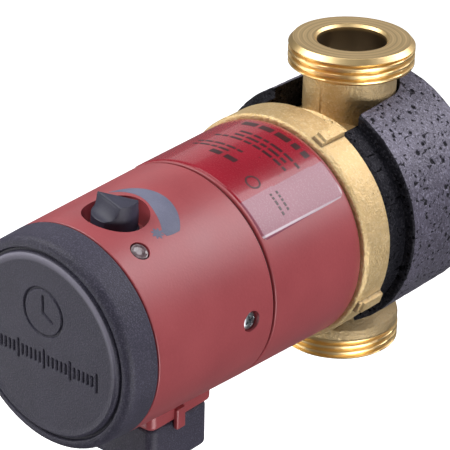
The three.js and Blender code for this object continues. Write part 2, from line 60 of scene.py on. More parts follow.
SHELL_LOW, SHELL_HIGH = corners("insulation_shell")
RING_LOW, RING_HIGH = corners("union_ring")
_, SLEEVE_HIGH = corners("stator_housing")
CONTROL_LOW, CONTROL_HIGH = corners("control_housing")
CAP_LOW, CAP_HIGH = corners("end_cap")
HOUSING_LOW, HOUSING_HIGH = corners("pump_housing")
PLUG_LOW, PLUG_HIGH = corners("plug_body")
NUT_LOW, NUT_HIGH = corners("cord_nut")
GASKET_LOW, GASKET_HIGH = corners("seam_gasket")
LABEL_LOW, LABEL_HIGH = corners("rating_label")

SEAM_Y = (GASKET_LOW[1] + GASKET_HIGH[1]) / 2
SEAM_HALF = 0.5
SLEEVE_BACK_Y = -40.8
SLEEVE_BACK_R = SLEEVE_HIGH[0]
SEAM_R = CONTROL_HIGH[0]
CONTROL_FRONT_Y = CONTROL_LOW[1]
CAP_R = CAP_HIGH[0]

KNOB_DEG = 5.0
KNOB_Y = -117.0
LAMP_DEG = 32.0
LAMP_Y = -123.2
SCREW_Y = -92.8
PLUG_Y = (PLUG_LOW[1] + PLUG_HIGH[1]) / 2


# ------------------------------------------------------------------ mesh making
def write_mesh(name, points, faces, smooth_deg=32.0):
    """A mesh object from points in millimetres and lists of faces. A closed surface whose signed
    volume comes out negative is turned the other way round, so its faces point outwards."""
    mesh = bpy.data.meshes.new(name)
    mesh.from_pydata(np.asarray(points) * MM, [], faces)
    mesh.update()
    mesh.calc_loop_triangles()
    tri = np.empty(len(mesh.loop_triangles) * 3, np.int32)
    mesh.loop_triangles.foreach_get("vertices", tri)
    a, b, c = (np.asarray(points)[tri.reshape(-1, 3)[:, i]] for i in range(3))
    if np.einsum("ij,ij->i", a, np.cross(b, c)).sum() < 0:
        mesh.flip_normals()
    mesh.shade_smooth()
    mesh.set_sharp_from_angle(angle=math.radians(smooth_deg))
    piece = bpy.data.objects.new(name, mesh)
    bpy.context.scene.collection.objects.link(piece)
    return piece


def grid_faces(rows, columns, wrap_rows, wrap_columns, offset=0):
    """Four-sided faces between neighbouring rows and columns of a grid of points."""
    index = np.arange(rows * columns).reshape(rows, columns) + offset
    if wrap_rows:
        index = np.vstack([index, index[:1]])
    if wrap_columns:
        index = np.hstack([index, index[:, :1]])
    quads = np.stack([index[:-1, :-1], index[:-1, 1:], index[1:, 1:], index[1:, :-1]], axis=-1)
    return quads.reshape(-1, 4).tolist()


def closed_grid(name, grid, smooth_deg=32.0):
    """A closed surface from a grid of points that wraps round its columns. Where the first and last
    rows each stand on one point they become poles, and otherwise the rows wrap round too."""
    rows, columns, _ = grid.shape
    has_poles = np.ptp(grid[0], axis=0).max() < 1e-6
    if not has_poles:
        return write_mesh(name, grid.reshape(-1, 3), grid_faces(rows, columns, True, True), smooth_deg)
    inner = grid[1:-1]
    points = np.vstack([grid[0, :1], inner.reshape(-1, 3), grid[-1, :1]])
    faces = grid_faces(rows - 2, columns, False, True, offset=1)
    ring = np.arange(columns)
    after = np.roll(ring, -1)
    last = 1 + (rows - 3) * columns
    faces += np.stack([np.zeros_like(ring), 1 + after, 1 + ring], axis=1).tolist()
    faces += np.stack([np.full_like(ring, len(points) - 1), last + ring, last + after], axis=1).tolist()
    return write_mesh(name, points, faces, smooth_deg)


def rounded(outline, steps=6):
    """The outline [(a, b, corner radius)] with each corner of a radius above nothing replaced by an
    arc that is tangent to both of its sides."""
    flat = np.array([point[:2] for point in outline], float)
    path = [flat[0]]
    for before, (a, b, radius), after in zip(flat[:-2], outline[1:-1], flat[2:]):
        corner = np.array([a, b], float)
        if radius <= 0:
            path.append(corner)
            continue
        back = (before - corner) / np.linalg.norm(before - corner)
        on = (after - corner) / np.linalg.norm(after - corner)
        half = math.acos(np.clip(back @ on, -1, 1)) / 2
        middle = (back + on) / np.linalg.norm(back + on)
        centre = corner + middle * radius / math.sin(half)
        start = corner + back * radius / math.tan(half) - centre
        stop = corner + on * radius / math.tan(half) - centre
        sweep = math.atan2(start[0] * stop[1] - start[1] * stop[0], start @ stop)
        turn = sweep * np.linspace(0, 1, steps + 1)
        path.extend(centre + np.stack([start[0] * np.cos(turn) - start[1] * np.sin(turn),
                                       start[0] * np.sin(turn) + start[1] * np.cos(turn)], axis=1))
    path.append(flat[-1])
    return np.array(path)


def with_steps(path, longest):
    """The same path with points added so that no step is longer than asked."""
    pieces = [path[:1]]
    for start, stop in zip(path[:-1], path[1:]):
        count = max(1, int(math.ceil(np.linalg.norm(stop - start) / longest)))
        pieces.append(start + (stop - start) * (np.arange(1, count + 1) / count)[:, None])
    return np.vstack(pieces)


def round_motor(radius, y, angle):
    """Points at a radius and angle round the motor axis."""
    return np.stack([radius * np.sin(angle), y + 0 * angle, radius * np.cos(angle)], axis=-1)


def round_pipe(radius, z, angle):
    """Points at a radius and angle round the pipe axis."""
    return np.stack([radius * np.cos(angle), radius * np.sin(angle), z + 0 * angle], axis=-1)


def turned(name, path, around=round_motor, columns=256, relief=None, smooth_deg=32.0):
    """A turned body: each point (radius, height) of the path goes right round its axis, and relief
    gives a change of radius at every radius, height and angle."""
    angle = np.linspace(0, 2 * math.pi, columns, endpoint=False)[None, :]
    radius = np.repeat(path[:, :1], columns, axis=1)
    height = np.repeat(path[:, 1:], columns, axis=1)
    if relief is not None:
        radius = radius + relief(radius, height, angle)
    return closed_grid(name, around(radius, height, angle + 0 * radius), smooth_deg)


def pointed_out(local, angle_deg, y):
    """Points drawn round their own Y axis, with that axis turned to point out of the motor axis."""
    angle = math.radians(angle_deg)
    across = np.array([math.cos(angle), 0, -math.sin(angle)])
    outward = np.array([math.sin(angle), 0, math.cos(angle)])
    along = np.array([0, -1, 0])
    return local[..., :1] * across + local[..., 1:2] * outward + local[..., 2:] * along + [0, y, 0]


def radial_piece(name, path, angle_deg, y, columns=96, smooth_deg=32.0):
    """A turned body whose own axis points out of the motor axis. Path is (radius, distance out)."""
    angle = np.linspace(0, 2 * math.pi, columns, endpoint=False)[None, :]
    across, along = path[:, :1] * np.cos(angle), path[:, :1] * np.sin(angle)
    local = np.stack(np.broadcast_arrays(across, path[:, 1:], along), -1)
    return closed_grid(name, pointed_out(local, angle_deg, y), smooth_deg)


def rounded_box(name, low, high, corner, smooth_deg=40.0, steps=5):
    """A box whose four upright edges are quarter circles and whose top and bottom rims are rounded:
    one rounded rectangle per height, drawn in by the rim's quarter circle near each end."""
    low, high = np.array(low, float), np.array(high, float)
    centre, half = (low + high)[:2] / 2, (high - low)[:2] / 2
    turn = np.linspace(0, math.pi / 2, steps + 1)
    quarter = np.concatenate([turn + k * math.pi / 2 for k in range(4)])
    side = np.repeat(np.array([[1, 1], [-1, 1], [-1, -1], [1, -1]]), steps + 1, axis=0)
    rim = min(corner, (high[2] - low[2]) / 2) * 0.5
    bend = np.linspace(0, math.pi / 2, 5)
    inset = np.concatenate([rim * (1 - np.sin(bend)), rim * (1 - np.cos(bend))])
    height = np.concatenate([low[2] + rim * (1 - np.cos(bend)), high[2] - rim * (1 - np.sin(bend))])
    rows = []
    for step_in, z in zip(inset, height):
        radius = max(corner - step_in, 0.05)
        at = centre + side * (half - corner) + radius * np.stack([np.cos(quarter), np.sin(quarter)], 1)
        rows.append(np.column_stack([at, np.full(len(at), z)]))
    first = np.tile([*centre, low[2]], (len(quarter), 1))
    last = np.tile([*centre, high[2]], (len(quarter), 1))
    return closed_grid(name, np.array([first, *rows, last]), smooth_deg)


def carve(target, *changes):
    """Joins or cuts closed bodies: changes are (operation, body), done in turn, and the bodies that
    were used are removed."""
    for operation, tool in changes:
        modifier = target.modifiers.new(operation, "BOOLEAN")
        modifier.operation = operation
        modifier.object = tool
        modifier.solver = "EXACT"
        bpy.context.view_layer.update()
        evaluated = target.evaluated_get(bpy.context.evaluated_depsgraph_get())
        made = bpy.data.meshes.new_from_object(evaluated)
        target.modifiers.clear()
        spent = target.data
        target.data = made
        bpy.data.meshes.remove(spent)
        bpy.data.objects.remove(tool)
    return target


# Large odd factors that scatter a cube's whole-number place into its random draws.
CELL_WEIGHTS = np.array([73856093, 19349663, 83492791])
CELL_SEED_FACTOR = 2654435761
CELL_FACTORS = (1274126177, 974711, 6700417, 39916801)
CELL_PRIME = 65521


def cells(points, size, seed):
    """Worley noise: distance to the nearest of one random point per cube of the given size, and a
    random number that belongs to that point."""
    scaled = points / size
    home = np.floor(scaled).astype(np.int64)
    nearest = np.full(len(points), 9.0)
    tag = np.zeros(len(points))
    for step in np.stack(np.meshgrid(*[[-1, 0, 1]] * 3), -1).reshape(-1, 3):
        cell = home + step
        mixed = (cell @ CELL_WEIGHTS) ^ (seed * CELL_SEED_FACTOR)
        spread = [mixed * factor for factor in CELL_FACTORS]
        draws = [(value ^ (value >> 13)) % CELL_PRIME / CELL_PRIME for value in spread]
        distance = np.linalg.norm(scaled - cell - np.stack(draws[:3], -1), axis=1)
        closer = distance < nearest
        nearest = np.where(closer, distance, nearest)
        tag = np.where(closer, draws[3], tag)
    return nearest * size, tag


def smooth(low, high, value):
    """Nothing below low, one above high, and an S curve between."""
    t = np.clip((value - low) / (high - low), 0, 1)
    return t * t * (3 - 2 * t)


def ripple(points, size, seed):
    """Gentle waviness between -1 and 1: the mean of six slanted sine waves of about the given size."""
    draw = np.random.default_rng(seed)
    total = np.zeros(points.shape[:-1])
    for _ in range(6):
        way = draw.normal(size=3)
        way *= 2 * math.pi / (size * draw.uniform(0.7, 1.5) * np.linalg.norm(way))
        total += np.sin(points @ way + draw.uniform(0, 6.3))
    return total / 6


def set_attribute(piece, name, values):
    """Keeps one number per point of a piece, for its finish to read."""
    layer = piece.data.attributes.new(name, "FLOAT", "POINT")
    layer.data.foreach_set("value", np.asarray(values, np.float32))


def points_of(piece):
    """The piece's points in millimetres."""
    points = np.empty(len(piece.data.vertices) * 3, np.float32)
    piece.data.vertices.foreach_get("co", points)
    return points.reshape(-1, 3).astype(float) / MM


def push_along_normals(piece, amount):
    """Moves every point along its normal by an amount in millimetres."""
    normals = np.empty(len(piece.data.vertices) * 3, np.float32)
    piece.data.vertex_normals.foreach_get("vector", normals)
    moved = points_of(piece) + normals.reshape(-1, 3) * np.asarray(amount)[:, None]
    piece.data.vertices.foreach_set("co", (moved * MM).astype(np.float32).ravel())
    piece.data.update()


# ------------------------------------------------------------------ finishes
class Finish:
    """A material with a Principled shader, and short calls for the nodes that feed it."""

    def __init__(self, name, **sockets):
        self.material = bpy.data.materials.new(name)
        self.material.use_nodes = True
        self.tree = self.material.node_tree
        self.shader = self.tree.nodes["Principled BSDF"]
        for key, value in sockets.items():
            self.shader.inputs[key.replace("_", " ")].default_value = value
        self.place = self.node("ShaderNodeTexCoord").outputs["Object"]

    def node(self, kind, **settings):
        made = self.tree.nodes.new(kind)
        for key, value in settings.items():
            setattr(made, key, value)
        return made

    def feed(self, socket, value):
        if isinstance(value, bpy.types.NodeSocket):
            self.tree.links.new(value, socket)
        else:
            socket.default_value = value

    def noise(self, scale, detail=3.0, roughness=0.55, stretch=None):
        where = self.place
        if stretch:
            mapping = self.node("ShaderNodeMapping")
            mapping.inputs["Scale"].default_value = stretch
            self.feed(mapping.inputs["Vector"], where)
            where = mapping.outputs["Vector"]
        made = self.node("ShaderNodeTexNoise")
        self.feed(made.inputs["Vector"], where)
        made.inputs["Scale"].default_value = scale
        made.inputs["Detail"].default_value = detail
        made.inputs["Roughness"].default_value = roughness
        return made.outputs["Fac"]

    def voronoi(self, scale, feature="F1"):
        made = self.node("ShaderNodeTexVoronoi", feature=feature)
        self.feed(made.inputs["Vector"], self.place)
        made.inputs["Scale"].default_value = scale
        return made.outputs["Distance"]

    def math(self, operation, a, b=0.0, clamp=False):
        made = self.node("ShaderNodeMath", operation=operation, use_clamp=clamp)
        self.feed(made.inputs[0], a)
        self.feed(made.inputs[1], b)
        return made.outputs[0]

    def span(self, value, low, high, to_low=0.0, to_high=1.0):
        made = self.node("ShaderNodeMapRange")
        for socket, number in zip(("Value", "From Min", "From Max", "To Min", "To Max"),
                                  (value, low, high, to_low, to_high)):
            self.feed(made.inputs[socket], number)
        return made.outputs["Result"]

    def mix(self, factor, a, b):
        made = self.node("ShaderNodeMix", data_type="RGBA")
        self.feed(made.inputs["Factor"], factor)
        self.feed(made.inputs[6], (*a, 1.0) if isinstance(a, tuple) else a)
        self.feed(made.inputs[7], (*b, 1.0) if isinstance(b, tuple) else b)
        return made.outputs[2]

    def attribute(self, name):
        return self.node("ShaderNodeAttribute", attribute_name=name).outputs["Fac"]

    def bump(self, height, distance):
        made = self.node("ShaderNodeBump")
        made.inputs["Distance"].default_value = distance * MM
        self.feed(made.inputs["Height"], height)
        return made.outputs["Normal"]

    def colour(self, value):
        self.feed(self.shader.inputs["Base Color"], value)
        return self

    def rough(self, value):
        self.feed(self.shader.inputs["Roughness"], value)
        return self

    def relief(self, value):
        self.feed(self.shader.inputs["Normal"], value)
        return self


def moulded(name, dark, light, metallic, rough_low, rough_high, grain=1400.0, depth=0.05, **sockets):
    """A general finish: colour drifts between two tones, roughness drifts with it, and a fine grain
    lies over the surface."""
    finish = Finish(name, Metallic=metallic, **sockets)
    drift = finish.noise(90.0, 4.0)
    fine = finish.noise(grain, 2.0)
    tone = finish.math("ADD", finish.math("MULTIPLY", drift, 0.7), finish.math("MULTIPLY", fine, 0.3))
    finish.colour(finish.mix(finish.span(tone, 0.35, 0.65), dark, light))
    finish.rough(finish.span(drift, 0.3, 0.7, rough_low, rough_high))
    finish.relief(finish.bump(fine, depth))
    return finish.material


def red_paint():
    """Satin paint: faint orange peel, slow drift of tone and a few fine specks of dust."""
    finish = Finish("red_paint", Metallic=0.0)
    shader = finish.shader.inputs
    shader["Coat Weight"].default_value = 0.25
    shader["Coat Roughness"].default_value = 0.30
    shader["Specular IOR Level"].default_value = 0.6
    drift = finish.noise(45.0, 3.0)
    peel = finish.noise(1300.0, 2.0, 0.5)
    specks = finish.span(finish.voronoi(420.0), 0.05, 0.0)
    base = finish.mix(finish.span(drift, 0.3, 0.7), (0.345, 0.050, 0.060), (0.405, 0.064, 0.074))
    raised = finish.math("MULTIPLY", finish.span(peel, 0.45, 0.8), 0.25)
    tone = finish.mix(raised, base, (0.46, 0.09, 0.10))
    finish.colour(finish.mix(finish.math("MULTIPLY", specks, 0.3), tone, (0.20, 0.03, 0.035)))
    finish.rough(finish.span(drift, 0.3, 0.7, 0.40, 0.50))
    finish.relief(finish.bump(peel, 0.035))
    return finish.material


def brass(name, cast_share):
    """Brass. Cast skin is matt with sand grain and small dark pores, and machined metal is bright
    with fine turning marks. cast_share is the name of an attribute, or a number all over. The
    attribute rings draws turned circles on machined faces, and painted_shade darkens the metal as
    painted shade where the pieces lie in shadow."""
    finish = Finish(name, Metallic=1.0)
    cast = finish.attribute(cast_share) if isinstance(cast_share, str) else cast_share
    drift = finish.noise(60.0, 4.0)
    grain = finish.noise(1150.0, 3.0, 0.65)
    coarse = finish.noise(520.0, 2.0)
    pores = finish.span(finish.voronoi(260.0), 0.09, 0.02)
    stain = finish.span(finish.noise(28.0, 5.0, 0.7), 0.52, 0.72)
    marks = finish.noise(2600.0, 2.0, stretch=(0.06, 0.06, 1.0))
    skin = finish.mix(finish.span(drift, 0.3, 0.7), (0.70, 0.50, 0.24), (0.86, 0.65, 0.35))
    glint = finish.math("MULTIPLY", finish.span(grain, 0.48, 0.68), 0.55)
    skin = finish.mix(glint, skin, (0.96, 0.83, 0.58))
    skin = finish.mix(finish.math("MULTIPLY", stain, 0.35), skin, (0.42, 0.28, 0.14))
    skin = finish.mix(finish.math("MULTIPLY", pores, 0.5), skin, (0.16, 0.09, 0.04))
    bright = finish.mix(finish.span(drift, 0.3, 0.7), (0.82, 0.57, 0.25), (0.93, 0.69, 0.35))
    if isinstance(cast_share, str):
        rings = finish.math("MULTIPLY", finish.attribute("rings"), 0.75)
        bright = finish.mix(rings, bright, (0.50, 0.33, 0.14))
    metal = finish.mix(cast, bright, skin)
    # Painted shade: the painted_shade attribute darkens the metal where the pieces lie in shadow.
    metal = finish.mix(finish.attribute("painted_shade"), metal, (0.25, 0.19, 0.125))
    finish.colour(metal)
    rough_skin = finish.span(grain, 0.3, 0.7, 0.50, 0.66)
    rough_bright = finish.span(drift, 0.3, 0.7, 0.32, 0.42)
    rough_gap = finish.math("SUBTRACT", rough_skin, rough_bright)
    finish.rough(finish.math("ADD", rough_bright, finish.math("MULTIPLY", cast, rough_gap)))
    sand = finish.math("ADD", grain, finish.math("MULTIPLY", coarse, 0.8))
    sand = finish.math("SUBTRACT", sand, pores)
    height = finish.math("ADD", finish.math("MULTIPLY", cast, sand), finish.math("MULTIPLY", marks, 0.08))
    finish.relief(finish.bump(height, 0.38))
    return finish.material


def bead_foam(name, dark, light, painted_glint, shine):
    """Moulded bead foam: two tones that drift, pale flecks painted in as glints of light on the bead
    skin, faint bead outlines and pits of many sizes painted near black as the shade inside them.
    The piece's own attribute gives the large pits."""
    finish = Finish(name, Metallic=0.0)
    finish.shader.inputs["Specular IOR Level"].default_value = shine
    finish.shader.inputs["Specular Tint"].default_value = (0.90, 0.86, 1.0, 1.0)
    drift = finish.noise(60.0, 4.0, 0.6)
    fine = finish.noise(1100.0, 3.0, 0.7)
    edges = finish.span(finish.voronoi(300.0, "DISTANCE_TO_EDGE"), 0.0, 0.09, 1.0, 0.0)
    small = finish.span(finish.noise(620.0, 1.5, 0.6, stretch=(1.0, 0.7, 1.2)), 0.365, 0.335)
    specks = finish.span(finish.noise(1500.0, 1.0), 0.335, 0.30)
    pits = finish.math("MAXIMUM", finish.span(finish.attribute("pit"), 0.25, 0.55), small, clamp=True)
    pits = finish.math("MAXIMUM", pits, specks, clamp=True)
    skin = finish.mix(finish.span(drift, 0.3, 0.7), dark, light)
    # Painted highlight: pale glints scattered over the skin.
    skin = finish.mix(finish.math("MULTIPLY", finish.span(fine, 0.51, 0.64), 0.6), skin, painted_glint)
    skin = finish.mix(finish.math("MULTIPLY", edges, 0.1), skin, (0.02, 0.018, 0.026))
    # Painted shade: the pits are coloured near black.
    finish.colour(finish.mix(pits, skin, (0.002, 0.002, 0.003)))
    finish.rough(finish.span(pits, 0.0, 1.0, 0.44, 0.95))
    height = finish.math("SUBTRACT", finish.math("MULTIPLY", fine, 0.7), pits)
    height = finish.math("SUBTRACT", height, finish.math("MULTIPLY", edges, 0.10))
    finish.relief(finish.bump(height, 0.40))
    return finish.material


def label_laminate():
    """Glossy laminate over print: crimson where the printed attribute is one, clear film over the
    paint elsewhere, and a painted highlight along the border attribute."""
    finish = Finish("label_laminate", Metallic=0.0)
    shader = finish.shader.inputs
    shader["Coat Weight"].default_value = 0.30
    shader["Coat Roughness"].default_value = 0.06
    shader["Specular IOR Level"].default_value = 0.4
    printed = finish.attribute("printed")
    drift = finish.noise(60.0, 3.0)
    speckle = finish.noise(1700.0, 2.0)
    ink = finish.mix(finish.span(drift, 0.3, 0.7), (0.300, 0.006, 0.020), (0.360, 0.010, 0.028))
    clear = finish.mix(finish.span(drift, 0.3, 0.7), (0.30, 0.085, 0.125), (0.34, 0.105, 0.150))
    film = finish.mix(printed, clear, ink)
    finish.colour(finish.mix(finish.attribute("border"), film, (0.70, 0.56, 0.62)))
    finish.rough(finish.span(speckle, 0.3, 0.7, 0.22, 0.30))
    finish.relief(finish.bump(finish.noise(160.0, 2.0), 0.03))
    return finish.material


def black_grain():
    """Moulded black plastic with a fine spark-eroded grain, and a painted highlight where the rim_highlight
    attribute is set.
    """
    finish = Finish("black_grain", Metallic=0.0)
    finish.shader.inputs["Specular IOR Level"].default_value = 0.32
    drift = finish.noise(70.0, 3.0)
    grain = finish.noise(2100.0, 2.0, 0.6)
    base = finish.mix(finish.span(drift, 0.3, 0.7), (0.034, 0.031, 0.050), (0.048, 0.044, 0.070))
    peaks = finish.math("MULTIPLY", finish.span(grain, 0.48, 0.68), 0.7)
    skin = finish.mix(peaks, base, (0.120, 0.112, 0.160))
    # Painted highlight along the cap's rim, from its attribute.
    finish.colour(finish.mix(finish.attribute("rim_highlight"), skin, (0.34, 0.32, 0.40)))
    finish.rough(finish.span(grain, 0.3, 0.7, 0.42, 0.58))
    finish.relief(finish.bump(grain, 0.18))
    return finish.material


def smoked_lens():
    """Pressed lamp lens: glossy smoky pink plastic with a clouded tone."""
    finish = Finish("smoked_lens", Metallic=0.0)
    shader = finish.shader.inputs
    shader["Coat Weight"].default_value = 0.4
    shader["Coat Roughness"].default_value = 0.2
    cloud = finish.noise(600.0, 3.0)
    finish.colour(finish.mix(finish.span(cloud, 0.35, 0.65), (0.10, 0.065, 0.072), (0.22, 0.155, 0.17)))
    finish.rough(finish.span(cloud, 0.3, 0.7, 0.12, 0.25))
    finish.relief(finish.bump(cloud, 0.08))
    return finish.material


RED = red_paint()
CAST_BRASS = brass("cast_brass", 1.0)
PORT_BRASS = brass("port_brass", "cast")
FOAM = bead_foam("foam_skin", (0.036, 0.031, 0.048), (0.088, 0.078, 0.116), (0.32, 0.30, 0.40), 1.0)
# Painted shade: a much darker copy of the foam for the inner faces and the front face, which lie in shadow.
SHADED_FOAM = bead_foam("shaded_foam", (0.004, 0.004, 0.006), (0.010, 0.010, 0.014), (0.060, 0.058, 0.070), 0.15)
LAMINATE = label_laminate()
BLACK = black_grain()
LENS = smoked_lens()
SLATE = moulded(
    "slate_plastic", (0.026, 0.025, 0.046), (0.044, 0.043, 0.074), 0.0, 0.48, 0.58, 1500.0, 0.04
)
PRINT_BLUE = moulded(
    "slate_print", (0.115, 0.120, 0.185), (0.180, 0.185, 0.265), 0.0, 0.5, 0.65, 2600.0, 0.02
)
PRINT_DARK = moulded(
    "dark_print", (0.030, 0.003, 0.006), (0.055, 0.006, 0.010), 0.0, 0.3, 0.4, 2400.0, 0.01
)
ZINC = moulded("zinc_plate", (0.20, 0.22, 0.24), (0.50, 0.52, 0.54), 1.0, 0.20, 0.36, 900.0, 0.04)
STAINLESS = moulded(
    "drawn_stainless", (0.52, 0.52, 0.53), (0.66, 0.66, 0.67), 1.0, 0.22, 0.34, 1800.0, 0.02
)
RUBBER = moulded(
    "black_rubber", (0.008, 0.008, 0.009), (0.018, 0.018, 0.020), 0.0, 0.6, 0.8, 1200.0, 0.04
)
CERAMIC = moulded(
    "ground_ceramic", (0.72, 0.70, 0.65), (0.82, 0.80, 0.76), 0.0, 0.2, 0.35, 1500.0, 0.01
)
CARBON = moulded(
    "pressed_carbon", (0.02, 0.02, 0.022), (0.04, 0.04, 0.044), 0.2, 0.35, 0.5, 1100.0, 0.03
)
IRON = moulded("coated_iron", (0.05, 0.05, 0.055), (0.09, 0.09, 0.095), 0.6, 0.4, 0.6, 700.0, 0.05)
LAMINATION = moulded(
    "stacked_sheet", (0.16, 0.17, 0.19), (0.30, 0.31, 0.33), 0.9, 0.35, 0.5, 1000.0, 0.05
)
COPPER = moulded(
    "enamelled_copper", (0.42, 0.14, 0.05), (0.62, 0.26, 0.10), 0.9, 0.3, 0.45, 800.0, 0.12
)
GREY_PLASTIC = moulded(
    "filled_plastic", (0.24, 0.25, 0.26), (0.33, 0.34, 0.35), 0.0, 0.4, 0.55, 1200.0, 0.05
)
IVORY = moulded(
    "ivory_plastic", (0.66, 0.62, 0.52), (0.76, 0.72, 0.63), 0.0, 0.35, 0.5, 1300.0, 0.03
)
BOARD = moulded(
    "solder_mask", (0.010, 0.10, 0.035), (0.020, 0.17, 0.06), 0.0, 0.25, 0.4, 600.0, 0.04
)
CASE_BLUE = moulded(
    "sleeved_case", (0.02, 0.08, 0.28), (0.04, 0.14, 0.42), 0.0, 0.25, 0.35, 500.0, 0.03
)
PIN_RED = moulded(
    "pin_plastic", (0.34, 0.03, 0.03), (0.46, 0.05, 0.05), 0.0, 0.35, 0.5, 1400.0, 0.03
)

SLOT_FINISH = {
    "cast_brass": CAST_BRASS, "foam": FOAM, "seal_rubber": RUBBER, "stainless": STAINLESS,
    "spring_steel": STAINLESS, "zinc_steel": ZINC, "bearing_ceramic": CERAMIC, "carbon": CARBON,
    "rotor_iron": IRON, "lamination_steel": LAMINATION, "copper": COPPER, "impeller_plastic": GREY_PLASTIC,
    "valve_plastic": IVORY, "red_paint": RED, "label_film": LAMINATE, "sensor_brass": CAST_BRASS,
    "slate_plastic": SLATE, "board_plastic": BOARD, "lamp_lens": LENS, "capacitor_case": CASE_BLUE,
    "black_plastic": BLACK, "dial_plastic": IVORY, "pin_plastic": PIN_RED,
}


def finish_cad_nodes():
    """Every carried-over CAD node takes the finish of its own slot in the record."""
    for row in frame["record"]["subparts"]:
        piece = frame["nodes"][row["node"]]
        piece.data.materials.clear()
        piece.data.materials.append(SLOT_FINISH[row["material_slot"]])


def place(piece, material, body, slot, *replaced):
    """Gives a piece its finish and the body it rides on, and hides the CAD nodes it stands for. The slot is
    not used.
    """
    piece.data.materials.clear()
    piece.data.materials.append(material)
    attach(piece, body)
    if replaced:
        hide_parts(*replaced)
    return piece


def line_inside(piece, material):
    """Gives the faces whose first corner is not marked as outside a second finish."""
    piece.data.materials.append(material)
    marks = np.zeros(len(piece.data.vertices), np.float32)
    piece.data.attributes["outside"].data.foreach_get("value", marks)
    first = np.zeros(len(piece.data.polygons), np.int32)
    piece.data.polygons.foreach_get("loop_start", first)
    corner = np.zeros(len(piece.data.loops), np.int32)
    piece.data.loops.foreach_get("vertex_index", corner)
    piece.data.polygons.foreach_set("material_index", (marks[corner[first]] < 0.5).astype(np.int32))
    piece.data.update()


# ------------------------------------------------------------------ wet end
PORT_REACH = HOUSING_HIGH[2]
THREAD_R = 20.95
THREAD_DEPTH = 1.3
THREAD_PITCH = 2.309
FACE_R = 19.5
BORE_R = 11.6
NECK_R = 15.5
SPIGOT_R = 34.6
HOUSING_R = 32.0
HOUSING_STEP_Y = -18.6
SPIGOT_THREAD_PITCH = 2.0
SPIGOT_THREAD_DEPTH = 0.8


def helix_relief(first_z, last_z):
    """Thread of the port: between two heights the radius drops from the crest towards the root by a
    rounded triangular wave of height minus turns, and fades out over the last part turn."""

    def relief(radius, height, angle):
        wave = (height / THREAD_PITCH - angle / (2 * math.pi)) % 1.0
        ridge = smooth(0.15, 0.75, 1 - np.abs(2 * wave - 1))
        inside = smooth(first_z - 0.3, first_z + 0.3, height) * smooth(last_z + 0.2, last_z - 0.2, height)
        on_outside = radius > THREAD_R - 0.6
        return -THREAD_DEPTH * (1 - ridge) * inside * on_outside
    return relief


def parting_line(radius, height, angle):
    """Step and fine groove left by the two halves of the mould, along the neck in the plane of the
    motor axis: one half stands a little prouder than the other."""
    across = radius * np.cos(angle)
    on_neck = smooth(NECK_R + 2.5, NECK_R + 0.8, radius) * (radius > BORE_R + 1)
    step = 0.22 * smooth(0.15, -0.15, across) * smooth(-6.0, -2.0, across)
    return (step - 0.45 * np.exp(-(((across - 0.2) / 0.26) ** 2))) * on_neck


def port(name, outside, thread_low, thread_high, flipped):
    """One port: the outline goes up the outside, over the sealing face and back down the bore, and
    the thread and the mould's seam are added as relief."""
    inside = [(BORE_R + 1.0, PORT_REACH, 0.5), (BORE_R, PORT_REACH - 0.9, 0), (BORE_R, 14, 0)]
    path = with_steps(rounded([(NECK_R - 1, 14, 0), *outside, *inside]), 0.16)
    relief_thread = helix_relief(thread_low, thread_high)

    def relief(radius, height, angle):
        return relief_thread(radius, height, angle) + parting_line(radius, height, angle)

    piece = turned(name, path, round_pipe, 200, relief)
    points = points_of(piece)
    radius = np.hypot(points[:, 0], points[:, 1])
    is_cast = smooth(thread_low - 0.2, thread_low - 0.9, points[:, 2]) * (radius > BORE_R + 0.6)
    wavy = ripple(points, 9.0, 3) * 0.10 + ripple(points, 3.0, 5) * 0.04
    push_along_normals(piece, wavy * is_cast)
    set_attribute(piece, "cast", is_cast)
    # Painted shade: darker down inside the bore, and on the cast neck's side towards +X where the foam shell
    # shades it.
    in_bore = (radius < BORE_R + 0.4) * smooth(PORT_REACH - 0.9, PORT_REACH - 2.4, points[:, 2])
    shaded_side = 0.5 * smooth(5, 13, points[:, 0]) * is_cast
    set_attribute(piece, "painted_shade", np.maximum(in_bore, shaded_side))
    on_face = smooth(PORT_REACH - 0.3, PORT_REACH - 0.05, points[:, 2])
    rings = 0.5 + 0.28 * np.sin(3.1 * radius) + 0.22 * np.sin(7.3 * radius + 1.0)
    set_attribute(piece, "rings", rings * on_face)
    if flipped:
        turned_over = points_of(piece) * np.array([1, -1, -1])
        piece.data.vertices.foreach_set("co", (turned_over * MM).astype(np.float32).ravel())
        piece.data.update()
    return piece


def upper_port():
    thread_low = PORT_REACH - 1.9 - 3 * THREAD_PITCH
    outside = [
        (NECK_R, 16, 0), (NECK_R, thread_low - 0.9, 1.6), (THREAD_R - 1.7, thread_low - 0.5, 0.4),
        (THREAD_R, thread_low + 0.6, 0.3), (THREAD_R, PORT_REACH - 1.7, 0.4), (FACE_R, PORT_REACH, 0.3),
    ]
    return port("upper_port", outside, thread_low, PORT_REACH - 1.9, False)


def lower_port():
    thread_low = PORT_REACH - 3 * THREAD_PITCH
    outside = [
        (NECK_R, 16, 0), (NECK_R, 36.5, 7), (17.6, 41.0, 3), (20.3, 44.0, 1.4), (20.75, 45.6, 0.8),
        (20.7, thread_low - 0.3, 0.4), (THREAD_R, thread_low + 0.4, 0.3), (THREAD_R, PORT_REACH - 0.8, 0.3),
        (THREAD_R - 0.9, PORT_REACH, 0.3),
    ]
    return port("lower_port", outside, thread_low, PORT_REACH - 0.2, True)


